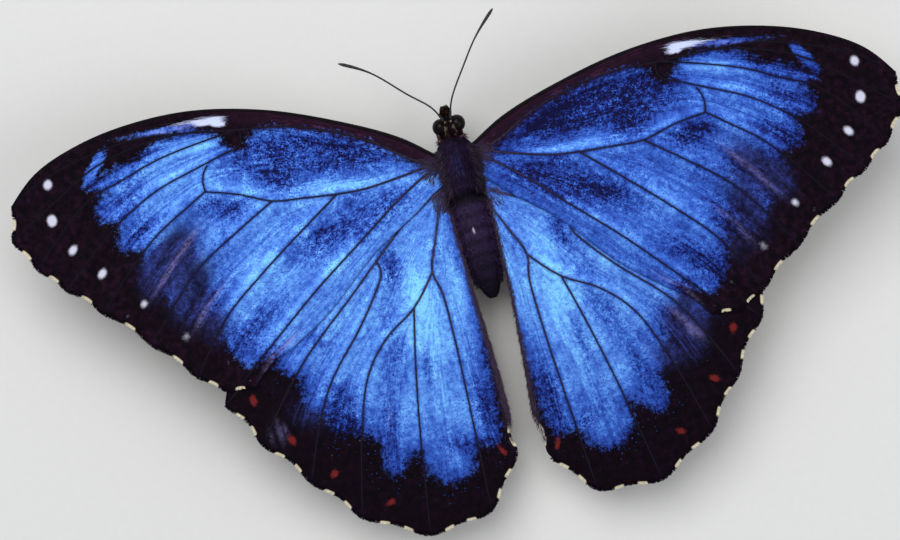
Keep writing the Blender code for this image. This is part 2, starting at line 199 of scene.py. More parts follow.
# Dark dusting over the blue, and its palest stretches, paler scales with a painted highlight: x, y, half
# length, half width, tilt, strength.
FORE_DUSK = [
    (23.3, 4.6, 3.0, 1.6, 29, 1.5), (13.1, 3.4, 4.6, 2.0, 20, 1.4), (23.6, 0.9, 3.5, 1.9, 25, 1.2),
    (19.4, 5.6, 2.6, 1.4, 13, 0.8), (17.2, 1.9, 3.6, 1.3, 10, 0.8), (32.1, -2.5, 3.6, 1.7, 14, 0.8),
    (29.6, 3.4, 2.8, 2.2, -17, 0.55), (46.4, 2.8, 2.2, 0.9, 16, 0.5), (46.0, 0.4, 3.9, 0.9, -13, 0.45),
    (43.1, -4.1, 2.9, 1.0, -33, 0.5), (23.0, -8.0, 5.0, 3.0, -40, 0.22), (42.5, 6.2, 3.0, 1.0, -14, 0.35),
    (14.6, -7.3, 6.4, 2.0, -24, 0.7), (18.8, -9.6, 3.4, 1.4, -40, 0.45), (10.7, -7.9, 5.5, 0.8, -39, 0.6),
    (12.1, -3.1, 2.3, 0.7, -12, 0.55), (42.0, -9.6, 4.6, 2.6, -60, 0.6), (39.0, -13.4, 4.6, 2.6, -60, 0.5),
    (36.0, -17.2, 4.0, 2.6, -57, 0.75), (31.2, -22.0, 2.7, 2.0, 31, 0.5),
    (27.1, -18.8, 4.5, 1.8, -30, 0.25), (44.5, 3.3, 2.2, 0.9, -4, 0.4), (45.8, -1.3, 2.4, 1.0, -41, 0.45),
    (44.8, -4.4, 3.4, 1.0, -54, 0.4), (37.5, -8.1, 2.0, 1.3, -61, 0.5), (49.9, 3.2, 2.4, 0.9, -64, 0.4),
    (28.6, -19.6, 2.6, 1.3, -49, 0.3), (27.8, -25.2, 2.3, 1.2, -47, 0.7), (7.2, -4.6, 3.4, 1.6, -42, 0.5),
    (32.9, -8.2, 2.8, 1.5, -51, 0.3), (44.5, 6.6, 2.0, 1.1, 0, 0.5),
]
FORE_PALE_AND_HIGHLIGHT = [
    (30.8, 2.8, 2.4, 1.9, -32, 0.6), (16.5, -1.2, 10.7, 0.7, 3, 0.9), (26.1, -10.2, 6.8, 2.4, -43, 0.6),
    (35.5, 6.9, 6.5, 1.0, -10, 0.8), (42.0, 3.0, 6.1, 1.0, -9, 0.4), (40.0, -1.0, 5.9, 0.9, -23, 0.4),
    (14.5, -11.2, 8.2, 0.6, -39, 0.8), (21.7, -12.4, 6.0, 1.2, -38, 0.45), (27.0, -17.5, 5.7, 0.9, -38, 0.3),
]
HIND_DUSK = [
    (10.6, 7.9, 1.3, 2.7, 0, 0.7), (14.3, 4.9, 3.9, 1.1, 28, 0.5), (11.5, 9.6, 2.9, 0.9, 30, 0.25),
    (24.0, 15.1, 2.5, 2.1, 11, 0.3), (23.0, 25.0, 3.0, 2.6, -76, 0.55), (13.3, 21.1, 1.6, 4.0, -20, 0.25),
    (22.6, 29.6, 3.3, 1.8, 35, 0.7), (9.2, 24.2, 0.7, 3.0, 0, 0.4), (3.0, 31.4, 1.4, 4.2, 0, 0.55),
    (12.8, 14.7, 1.1, 2.4, 0, 0.3), (16.3, 30.2, 1.2, 4.2, -8, 0.35), (7.2, 35.9, 2.6, 1.3, -24, 0.35),
    (3.6, 8.0, 0.7, 2.1, -20, 0.3),
]
# The hind wing's bright middle is mostly painted highlight, over slightly paler scales.
HIND_PALE_AND_HIGHLIGHT = [
    (7.1, 17.5, 2.1, 6.2, 0, 1.1), (1.8, 14.0, 1.6, 7.4, 0, 0.95), (10.4, 18.5, 1.3, 2.6, 15, 0.55),
    (14.6, 14.3, 3.1, 1.3, 30, 0.45), (8.3, 27.4, 1.3, 4.6, 0, 0.5), (8.0, 9.9, 1.8, 5.3, -20, 0.6),
    (18.8, 13.1, 3.1, 1.2, 30, 0.3), (14.4, 30.3, 0.9, 2.9, -10, 0.3),
]
# The smooth violet dusk between the blue and the border.
FORE_HAZE = [
    (40.6, -9.4, 5.0, 2.1, -56, 1.35), (38.0, -14.4, 4.8, 2.1, -66, 1.25),
    (43.4, -11.0, 2.4, 1.6, -60, 1.1), (35.4, -19.8, 2.6, 1.8, -60, 0.8),
]
HIND_HAZE = {
    LEFT: [(28.6, 26.0, 2.6, 1.6, -60, 0.6), (31.8, 27.6, 1.6, 2.4, 0, 0.35)],
    RIGHT: [(24.6, 27.2, 3.4, 2.2, 57, 1.4), (22.4, 30.1, 2.4, 1.9, 0, 1.2), (26.8, 24.2, 2.6, 1.4, 45, 1.4)],
}
# Lilac folds and the pale flash behind the leading edge.
FORE_LILAC = [
    (37.5, -6.9, 2.7, 0.30, -47, 0.8), (41.2, -11.2, 2.9, 0.30, -52, 0.7),
    (34.5, -15.0, 2.1, 0.30, -47, 0.8), (37.0, -18.2, 2.0, 0.36, -57, 0.6),
    (28.3, -26.2, 2.1, 0.32, -58, 0.9), (25.0, -23.3, 2.4, 0.34, -38, 1.0), (38.6, 9.7, 4.6, 0.30, -5, 0.8),
]
FORE_FLASH = [
    (31.6, 10.5, 1.5, 0.45, 2, 1.0), (33.6, 10.3, 1.7, 0.55, 4, 0.8), (31.4, 9.7, 1.3, 0.42, 4, 0.9),
    (36.4, 10.4, 2.4, 0.35, -2, 0.5),
]
FORE_ISLANDS = [(49.9, 5.4, 3.0, 0.8, -56, 1.0), (39.0, 9.75, 5.2, 0.42, -4, 1.0)]
HIND_LILAC = {
    LEFT: [(32.6, 27.0, 0.36, 1.6, 0, 0.55), (34.0, 27.4, 0.34, 1.0, 0, 0.45),
           (31.6, 27.2, 0.25, 1.0, 0, 0.35), (16.4, 29.0, 0.3, 2.2, -14, 0.3)],
    RIGHT: [(24.5, 25.9, 2.9, 0.42, 57, 0.55), (25.3, 27.8, 1.1, 0.6, 50, 0.4),
            (18.1, 27.9, 0.3, 2.4, -20, 0.3)],
}
# Half lengths of the fringe's pale stretches, and where between two vein ends they lie.
FORE_CREAM = (0.86, (0.5,))
HIND_CREAM = (0.72, (0.31, 0.67))
# The underside's eyespots: x, y, radius.
FORE_OCELLI = [(50.0, -1.2, 1.5), (39.6, -9.6, 2.3), (32.5, -17.2, 2.7)]
HIND_OCELLI = [(27.5, 16.8, 3.4), (23.3, 27.6, 1.9), (14.8, 33.6, 2.5), (5.6, 35.0, 1.8)]

# Limbs.
ANTENNA_PATHS = {
    LEFT: [(0.8, -6.15, 11.05), (1.9, -8.4, 11.7), (4.9, -11.3, 12.7), (9.3, -15.7, 13.6),
           (13.4, -18.2, 13.9)],
    RIGHT: [(-0.35, -6.2, 11.05), (-1.2, -8.8, 11.8), (-4.4, -13.4, 13.1), (-7.0, -16.7, 13.9),
            (-10.5, -20.0, 14.2)],
}
ANTENNA_RINGS = 44
SOLE = 0.22
FOOT_PIECES = 5
# Radii at both ends of the leg's bones, from the body outwards.
FORE_LEG_RADII = [(0.32, 0.34), (0.30, 0.26), (0.26, 0.2)]
WALKING_LEG_RADII = [(0.44, 0.44), (0.40, 0.30), (0.27, 0.22)]
LEGS = {
    "fore": [(1.05, -2.3, 6.42), (1.35, -2.9, 5.4), (1.75, -5.0, 4.9), (1.7, -3.3, 4.1)],
    "mid": [(1.75, 0.0, 6.55), (2.5, -0.2, 5.9), (8.0, -1.9, 7.9), (11.0, -3.4, 1.6), (12.1, -4.1, SOLE),
            (14.9, -5.6, SOLE)],
    "hind": [(1.6, 3.1, 6.6), (2.3, 3.7, 5.9), (7.2, 9.6, 7.6), (9.6, 17.2, 1.7), (10.1, 19.0, SOLE),
             (11.0, 22.4, SOLE)],
}
PALP_PATH = [(0.46, -6.72, 8.35), (0.48, -7.35, 8.9), (0.42, -8.25, 9.65)]
PROBOSCIS_COIL = (0.3, 1.14)
PROBOSCIS_TURNS = 2.4
PROBOSCIS_RINGS = 65
PROBOSCIS_OFFSET = (0.0, -0.4, -3.15)

# Hair. Each tuft has seven points, each blade of the fringe eight.
TUFT_POINTS, BLADE_POINTS = 7, 8
TUFT_SINK = 0.03
# How wide each tuft's patch on the bake map is.
TUFT_PATCH = 0.003
HAIR = 0.85
RUSTY = (1.7, 1.0, 0.85)
# Pieces of the coat: stretch of the body, tufts (none: the setting's), seed, shortest and longest, width,
# lift, splay, extras.
COATS = {
    "head": ((-6.7, -3.9), 1300, 5, (0.25, 0.5), 0.075, 0.55, 0.35, {"bloom": RUSTY}),
    "thorax": ((-4.0, 4.9), None, 6, (0.51, 0.9775), 0.085, 0.34, 0.22, {}),
    "abdomen": ((4.9, 20.6), 5200, 7, (0.238, 0.4675), 0.075, 0.16, 0.16, {}),
    "collar": ((-4.9, -3.1), 900, 8, (0.765, 1.275), 0.085, 0.7, 0.4, {"bloom": RUSTY}),
    "ruff": ((-4.7, -3.3), 500, 11, (0.85, 1.445), 0.085, 0.8, 0.4,
             {"arc": (0.8, 2.0), "bloom": RUSTY, "back": 0.7}),
    "flanks": ((-2.2, 6.4), 1700, 9, (1.02, 2.04), 0.085, 0.7, 0.45,
               {"arc": (0.75, 1.35), "down": 0.35, "bloom": (1.55, 1.7, 1.05), "back": 0.6}),
    "sides": ((5.4, 18.5), 2700, 10, (0.595, 1.1475), 0.075, 0.7, 0.3,
              {"arc": (0.9, 1.5), "bloom": (1.2, 1.1, 1.2), "back": 0.55}),
}
# Wing hair stands this far above the middle of the sheet.
HAIR_FOOT = 0.09
FORE_HAIRS, HIND_HAIRS, PALP_HAIRS = 300, 1900, 1100
HIND_BASE_HAIRS = {LEFT: 260, RIGHT: 90}
# Legs' bristles: count, length, the thickness they stand on at each bone, and the first seed.
BRISTLES = {
    "fore": (520, 0.5, (0.22, 0.20, 0.14), 270),
    "mid": (620, 0.3, (0.42, 0.34, 0.22), 263),
    "hind": (620, 0.3, (0.42, 0.34, 0.22), 270),
}
BRISTLE_SEED_STEP = 7
FRINGE_SEED, WING_HAIR_SEED, PALP_SEED = 40, 60, 80

# Bake map of a wing: the upper side's size and the most of the height that it takes, then the underside's
# height and where it starts, above it.
MAP_EDGE = 0.01
UPPER_MAP = (0.98, 0.62)
UNDER_MAP = (0.34, 0.655)

# Stage: metres for the floor and the lamps. The camera's aim and the width it shows are millimetres.
FLOOR_REACH = 4.0
LAMP_SIZE = 0.5
LAMPS = {"key": ((0.10, -0.28, 0.62), 1.0), "fill": ((-0.45, 0.25, 0.5), 0.45)}
SKY, SKY_STRENGTH = (0.92, 0.95, 1.0, 1.0), 0.36
CAMERA_AIM = (4.97, -1.43, 11.0)
CAMERA_WIDTH = 132.3
SENSOR = 36
CAMERA_TURN = 180 - 15.37


def linear(red, green, blue):
    """A colour as the renderer counts it, from the 0 to 255 a paint chart gives."""
    return tuple(c / 3294.6 if c <= 10 else ((c / 255 + 0.055) / 1.055) ** 2.4 for c in (red, green, blue))


FLECK = linear(206, 200, 216)


def darker(tone):
    return [0.35 * c for c in tone]


def colour(name, description, red, green, blue):
    return FloatVectorProperty(name=name, description=description, subtype="COLOR", min=0.0, max=1.0,
                               default=linear(red, green, blue))


def length(name, description, millimetres):
    return FloatProperty(name=name, description=description, default=millimetres * MM, min=0.0,
                         subtype="DISTANCE", unit="LENGTH", precision=5)


class MorphoWings(bpy.types.PropertyGroup):
    sheet: length("Sheet", "Thickness of the wing's membrane", 0.16)
    grid: length("Grid", "Spacing of the points that carry the pattern", 0.40)
    pleat: length("Pleat", "How far the membrane dips between two veins", 0.07)
    vein: length("Vein", "Radius of a vein at the wing's root", 0.22)
    fringe: length("Fringe", "Length of the scales along the outer edge", 0.42)
    azure: colour("Azure", "The palest blue scales", 130, 208, 255)
    sky: colour("Sky blue", "The common blue scales", 92, 146, 232)
    blue: colour("Blue", "The blue scales seen aslant", 54, 95, 192)
    navy: colour("Navy", "The sparse blue scales over dark ones", 28, 48, 130)
    deep: colour("Deep blue", "The dark scales between the blue ones", 15, 14, 52)
    # Painted shade: how much the right wings' blue is darkened, for how the light falls on them at this
    # angle.
    right_wing_shade: FloatProperty(name="Turned", description="How much deeper the blue of the right wings looks",
                          default=0.15, min=0.0, max=0.5)
    border: colour("Border", "The dark edge of the wings", 10, 4, 11)
    costa: colour("Leading edge", "The band along the forewing's leading edge", 42, 20, 40)
    rust: colour("Rust", "The small spots near the hind wing's edge", 116, 34, 34)
    cream: colour("Cream", "The pale stretches of the fringe", 226, 216, 186)
    umber: colour("Umber", "The underside's ground colour", 92, 66, 48)


class MorphoBody(bpy.types.PropertyGroup):
    coat: length("Coat", "How far the skin lies inside the frame's solids", 0.10)
    hair: length("Hair", "Length of the hair on the back", HAIR)
    tufts: IntProperty(name="Tufts", description="Tufts of hair on the thorax", default=4200, min=100)
    brown: colour("Brown", "The body's ground colour", 14, 10, 21)
    belly: colour("Belly", "The belly's browner ground colour", 46, 33, 27)
    mauve: colour("Mauve", "The bloom on the abdomen's back and the wing bases", 56, 43, 75)
    pale: colour("Pale", "The flecks on the head and behind the eyes", 205, 178, 140)
    eye: colour("Eye", "The eyes", 10, 8, 11)


class MorphoLimbs(bpy.types.PropertyGroup):
    feeler: length("Feeler", "Radius of a feeler's shaft", 0.13)
    club: length("Club", "Radius of a feeler's club", 0.25)
    horn: colour("Horn", "The feelers", 20, 15, 15)
    leg: colour("Leg", "The legs", 70, 50, 38)


class MorphoStage(bpy.types.PropertyGroup):
    distance: length("Camera distance", "From the wings to the camera", 600)
    key: FloatProperty(name="Key light", description="Power of the main light", default=3.3, min=0.0,
                       subtype="POWER", unit="POWER")
    floor: colour("Floor", "The floor", 224, 224, 222)


GROUPS = {"morpho_wings": MorphoWings, "morpho_body": MorphoBody, "morpho_limbs": MorphoLimbs,
          "morpho_stage": MorphoStage}


# Curves and fields.

def unit(vectors):
    """The same directions, each of length one."""
    return vectors / np.maximum(np.linalg.norm(vectors, axis=-1, keepdims=True), 1e-12)


def held(values):
    """Numbers held between 0 and 1."""
    return np.clip(values, 0, 1)


def bell(values, middle, width):
    """A soft bump: 1 in the middle, next to nothing two widths away."""
    return np.exp(-((values - middle) / width) ** 2)


def smooth_path(anchors, spacing):
    """Points `spacing` apart on the smooth curve through the anchors, and the arc lengths of both."""
    p = np.array(anchors, float)
    knots = np.append(0.0, np.cumsum(np.sqrt(np.linalg.norm(np.diff(p, axis=0), axis=1))))
    width = np.diff(knots)[:, None]
    slope = np.diff(p, axis=0) / width
    tangent = np.empty_like(p)
    tangent[1:-1] = (slope[1:] * width[:-1] + slope[:-1] * width[1:]) / (width[1:] + width[:-1])
    tangent[0] = 1.5 * slope[0] - 0.5 * tangent[1]
    tangent[-1] = 1.5 * slope[-1] - 0.5 * tangent[-2]
    u = np.arange(0, 1, 1 / CURVE_STEPS)[:, None]
    pieces = []
    for i, h in enumerate(np.diff(knots)):
        start = (1 + 2 * u) * (1 - u) ** 2 * p[i] + u * (1 - u) ** 2 * h * tangent[i]
        end = u * u * (3 - 2 * u) * p[i + 1] - u * u * (1 - u) * h * tangent[i + 1]
        pieces.append(start + end)
    fine = np.concatenate(pieces + [p[-1:]])
    run = np.append(0.0, np.cumsum(np.linalg.norm(np.diff(fine, axis=0), axis=1)))
    span = np.linspace(0, run[-1], max(2, round(run[-1] / spacing) + 1))
    points = np.stack([np.interp(span, run, axis) for axis in fine.T], axis=1)
    return points, span, run[::CURVE_STEPS]


def curve(anchors, spacing):
    """Only the points of a smooth path."""
    return smooth_path(anchors, spacing)[0]


def columns(*values):
    """Arrays or single numbers side by side, one row a place."""
    return np.stack(np.broadcast_arrays(*values), axis=1)


def closed(ring):
    return np.concatenate([ring, ring[:1]])


def gap_to(places, path):
    """How far each place lies from a path of straight pieces."""
    best = np.full(len(places), 1e9)
    for start, end in zip(path[:-1], path[1:]):
        way = end - start
        off = places - start
        off = off - held(off @ way / max(way @ way, 1e-12))[:, None] * way
        best = np.minimum(best, np.hypot(off[:, 0], off[:, 1]))
    return best


def inside(places, ring):
    """Which places lie within a closed ring."""
    x, y = places.T
    within = np.zeros(len(places), bool)
    for (ax, ay), (bx, by) in zip(ring, np.roll(ring, -1, axis=0)):
        crossing = (ay > y) != (by > y)
        within ^= crossing & (x < ax + (y - ay) * (bx - ax) / (by - ay + 1e-12))
    return within


def depth_within(places, ring):
    """How deep each place lies within a closed ring, negative outside it."""
    gap = gap_to(places, closed(ring))
    return np.where(inside(places, ring), gap, -gap)


def from_oval(places, mark):
    """How far each place lies from an oval mark's middle, where 1 is the oval's edge."""
    x, y, across, along, tilt, _ = mark
    c, s = cos(radians(tilt)), sin(radians(tilt))
    off = places - (x, y)
    return np.hypot((off[:, 0] * c + off[:, 1] * s) / across, (off[:, 1] * c - off[:, 0] * s) / along)


def patches(places, marks):
    """Soft oval patches: the sum of their strengths at each place."""
    return sum(mark[-1] * np.exp(-from_oval(places, mark) ** 2) for mark in marks)


def spots(places, marks):
    """Sharp oval spots: how deep each place lies in the nearest, times that one's strength."""
    best = np.full(len(places), OUTSIDE)
    for mark in marks:
        best = np.maximum(best, (1 - from_oval(places, mark)) * min(mark[2:4]) * mark[-1])
    return best


def sheet_height(x, y):
    """Height of the surface that both pairs of wings follow, over points of the body's frame."""
    out = np.abs(x - THORAX_X)
    rise = DIHEDRAL * (out - FLANK) + TIP_CURL * (out / WING_REACH) ** 2
    return WING_LEVEL + rise - REAR_DROOP * (np.maximum(0.0, y - 8.0) / REAR_REACH) ** 2


def to_world(points):
    """Body-frame millimetres as metres from the model's own origin."""
    return (np.asarray(points, float) - (*FRAME_CENTRE, 0.0)) * MM


# Meshes.

def put(name, data, location=(0.0, 0.0, 0.0)):
    """An object in the scene, at its place."""
    made = bpy.data.objects.new(name, data)
    made.location = location
    bpy.context.scene.collection.objects.link(made)
    return made


def new_piece(name, shape, finish, nodes=(), smooth=True, attributes=None, uv=None, under=None):
    """A piece from points and faces, handed to the frame: it rides the root and stands for its nodes.

    `uv` places each corner on the bake map; `under` is a second finish and which faces have it.
    """
    points, faces = shape
    mesh = bpy.data.meshes.new(name)
    mesh.from_pydata([tuple(p) for p in to_world(points)], [], [tuple(f) for f in faces])
    mesh.materials.append(finish)
    if under:
        mesh.materials.append(under[0])
        mesh.polygons.foreach_set("material_index", np.asarray(under[1], np.int32))
    mesh.polygons.foreach_set("use_smooth", np.full(len(mesh.polygons), smooth))
    for key, values in (attributes or {}).items():
        values = np.asarray(values, np.float32)
        kind, field = ("FLOAT", "value") if values.ndim == 1 else ("FLOAT_VECTOR", "vector")
        mesh.attributes.new(key, kind, "POINT").data.foreach_set(field, values.ravel())
    if uv is not None:
        mesh.uv_layers.new(name="OFBake").data.foreach_set("uv", np.asarray(uv, np.float32).ravel())
    mesh.validate()
    mesh.update()
    made = put(name, mesh)
    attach(made, "root")
    if nodes:
        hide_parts(*nodes)


def ring_faces(rings, around, first=0):
    """Four-sided faces from each ring of points to the next one."""
    starts = [first + around * k for k in range(rings)]
    return [(a + i, b + i, b + (i + 1) % around, a + (i + 1) % around)
            for a, b in zip(starts, starts[1:]) for i in range(around)]


def tube(path, radii, sides):
    """Points and faces of a closed tube along a path, each of its rings with its own radius."""
    along = unit(np.gradient(path, axis=0))
    across = np.cross(along, UP)
    weak = np.linalg.norm(across, axis=1) < 0.2
    across[weak] = np.cross(along[weak], (0.0, 1.0, 0.0))
    across = unit(across)
    turn = (np.arange(sides) * tau / sides)[None, :, None]
    ring = across[:, None] * np.cos(turn) + np.cross(across, along)[:, None] * np.sin(turn)
    points = (path[:, None] + ring * radii[:, None, None]).reshape(-1, 3)
    ends = [tuple(range(sides)), tuple(reversed(range(len(points) - sides, len(points))))]
    return points, ring_faces(len(path), sides) + ends


def joined(parts):
    """Several (points, faces) as one."""
    points, faces, start = [], [], 0
    for some, theirs in parts:
        points.append(some)
        faces += [tuple(start + i for i in face) for face in theirs]
        start += len(some)
    return np.concatenate(points), faces


def ball(centre, half, around, rows):
    """Points and faces of an egg-shaped body."""
    tilt, turn = np.meshgrid(pi * np.arange(1, rows) / rows, tau * np.arange(around) / around, indexing="ij")
    rings = np.stack([np.sin(tilt) * np.cos(turn), np.sin(tilt) * np.sin(turn), np.cos(tilt)], axis=-1)
    points = np.concatenate([[UP], rings.reshape(-1, 3), [np.negative(UP)]])
    last, first = len(points) - 1, 1 + (rows - 2) * around
    faces = [(0, 1 + i, 1 + (i + 1) % around) for i in range(around)] + ring_faces(rows - 1, around, 1)
    faces += [(last, first + (i + 1) % around, first + i) for i in range(around)]
    return points * half + centre, faces


def copies(pattern, count, step):
    """One small body's faces, repeated for every body."""
    return [tuple(step * k + v for v in row) for k in range(count) for row in pattern]


def tufts(roots, ways, normals, lengths, width, bend):
    """Points and faces of pointed three-sided tufts, rooted just under the skin, bent over their way."""
    ways = unit(ways)
    across = unit(np.cross(normals, ways))
    lift = normals * bend
    lengths = lengths[:, None]
    rings = []
    for share, thick in ((0.0, 1.0), (0.45, 0.85)):
        middle = roots + lengths * (ways * share + lift * share * (1.25 - share)) - normals * TUFT_SINK
        for angle in (0.0, tau / 3, 2 * tau / 3):
            rings.append(middle + width * thick * 0.5 * (across * cos(angle) + normals * sin(angle)))
    tip = roots + lengths * (ways + lift * 0.25)
    pattern = ((0, 2, 1), (0, 1, 4, 3), (1, 2, 5, 4), (2, 0, 3, 5), (3, 4, 6), (4, 5, 6), (5, 3, 6))
    return np.stack([*rings, tip], axis=1).reshape(-1, 3), copies(pattern, len(roots), TUFT_POINTS)


def blades(roots, ways, normals, lengths, width, thick):
    """Points and faces of flat blunt scales: a rhombus at the root, a smaller one at the tip."""
    ways = unit(ways)
    across = unit(np.cross(normals, ways))
    rings = []
    for reach, w, t in ((0.0, 0.8, 1.0), (1.0, 0.62, 0.6)):
        middle = roots + ways * lengths[:, None] * reach
        broad, high = across * width * w / 2, normals * thick * t / 2
        rings += [middle + broad, middle + high, middle - broad, middle - high]
    pattern = ((3, 2, 1, 0), (4, 5, 6, 7), (0, 1, 5, 4), (1, 2, 6, 5), (2, 3, 7, 6), (3, 0, 4, 7))
    return np.stack(rings, axis=1).reshape(-1, 3), copies(pattern, len(roots), BLADE_POINTS)


def hair_piece(name, shape, finish, root_uv, shade, tint=None):
    """A piece of tufts, each with its shade, tint and a tiny patch at its root's place on the bake map."""
    spread = np.array([(0, 0), (1, 0), (0.5, 1), (0.1, 0.5), (0.9, 0.5), (0.5, 0.8), (0.5, 0.6)]) * TUFT_PATCH
    corners = np.array([v for face in shape[1] for v in face])
    uv = np.clip(root_uv[corners // TUFT_POINTS] + spread[corners % TUFT_POINTS], 0.0005, 0.9995)
    tint = np.ones((len(shade), 3)) if tint is None else tint
    new_piece(name, shape, finish, smooth=False, uv=uv,
              attributes={key: np.repeat(values, TUFT_POINTS, axis=0)
                          for key, values in (("shade", shade), ("tint", tint))})


# Materials.

class Value:
    """A number or colour in a material: the maths between numbers is written as Python expressions."""

    def __init__(self, finish, socket):
        self.finish = finish
        self.socket = socket

    def maths(self, operation, *terms):
        return self.finish.node("ShaderNodeMath", {"operation": operation}, dict(enumerate(terms)))

    def __add__(self, other):
        return self.maths("ADD", self, other)

    def __sub__(self, other):
        return self.maths("SUBTRACT", self, other)

    def __rsub__(self, other):
        return self.maths("SUBTRACT", other, self)

    def __mul__(self, other):
        return self.maths("MULTIPLY", self, other)

    __radd__ = __add__
    __rmul__ = __mul__

    def held(self):
        return self.finish.node("ShaderNodeClamp", {}, {"Value": self})

    def size(self):
        return self.maths("ABSOLUTE", self)

    def over_whole(self):
        return self.maths("FRACT", self)


class Finish:
    """A material being built: every node but the maths between numbers comes from its node method."""

    def __init__(self, name, **fixed):
        self.material = bpy.data.materials.new(name)
        self.material.use_nodes = True
        self.tree = self.material.node_tree
        self.shader = self.tree.nodes["Principled BSDF"]
        self.done(**fixed)

    def feed(self, socket, value):
        if isinstance(value, Value):
            self.tree.links.new(value.socket, socket)
        elif socket.type == "RGBA":
            socket.default_value = (*value, 1.0)
        else:
            socket.default_value = value

    def node(self, kind, settings, inputs, output=0):
        made = self.tree.nodes.new(kind)
        for key, value in settings.items():
            if key == "stops":
                elements = made.color_ramp.elements
                while len(elements) < len(value):
                    elements.new(1.0)
                for element, (place, shade) in zip(elements, value):
                    element.position = place
                    element.color = (*shade, 1.0)
            else:
                setattr(made, key, value)
        for key, value in inputs.items():
            self.feed(made.inputs[key], value)
        return Value(self, made.outputs[output])

    def position(self):
        return self.node("ShaderNodeNewGeometry", {}, {}, "Position")

    def attribute(self, name, output="Fac"):
        return self.node("ShaderNodeAttribute", {"attribute_name": name}, {}, output)

    def parts(self, name):
        """A vector attribute's three numbers."""
        split = self.node("ShaderNodeSeparateXYZ", {}, {0: self.attribute(name, "Vector")})
        return [Value(self, socket) for socket in split.socket.node.outputs]

    def scaled(self, vector, *by):
        return self.node("ShaderNodeVectorMath", {"operation": "MULTIPLY"}, {0: vector, 1: by})

    def noise(self, vector, scale, detail=2.0, roughness=0.5):
        return self.node("ShaderNodeTexNoise", {}, {"Vector": vector, "Scale": scale, "Detail": detail,
                                                    "Roughness": roughness})

    def streaks(self, across, along, detail=2.0, roughness=0.5):
        """Noise drawn out along the wing's lanes."""
        lane = self.attribute("lane", "Vector")
        return self.noise(self.scaled(lane, across, along, 1.0), 1.0, detail, roughness)

    def cells(self, vector, scale):
        return self.node("ShaderNodeTexVoronoi", {}, {"Vector": vector, "Scale": scale})

    def blend(self, base, *layers):
        """Colours laid over a base in turn, each by its own share."""
        for over, share in layers:
            base = self.node("ShaderNodeMix", {"data_type": "RGBA"}, {0: share, 6: base, 7: over}, 2)
        return base

    def ramp(self, value, *stops):
        return self.node("ShaderNodeValToRGB", {"stops": stops}, {0: value})

    def bump(self, height, depth, strength=0.5):
        return self.node("ShaderNodeBump", {}, {"Height": height, "Distance": depth, "Strength": strength})

    def done(self, **links):
        for key, value in links.items():
            self.feed(self.shader.inputs[key.replace("_", " ")], value)
        return self.material


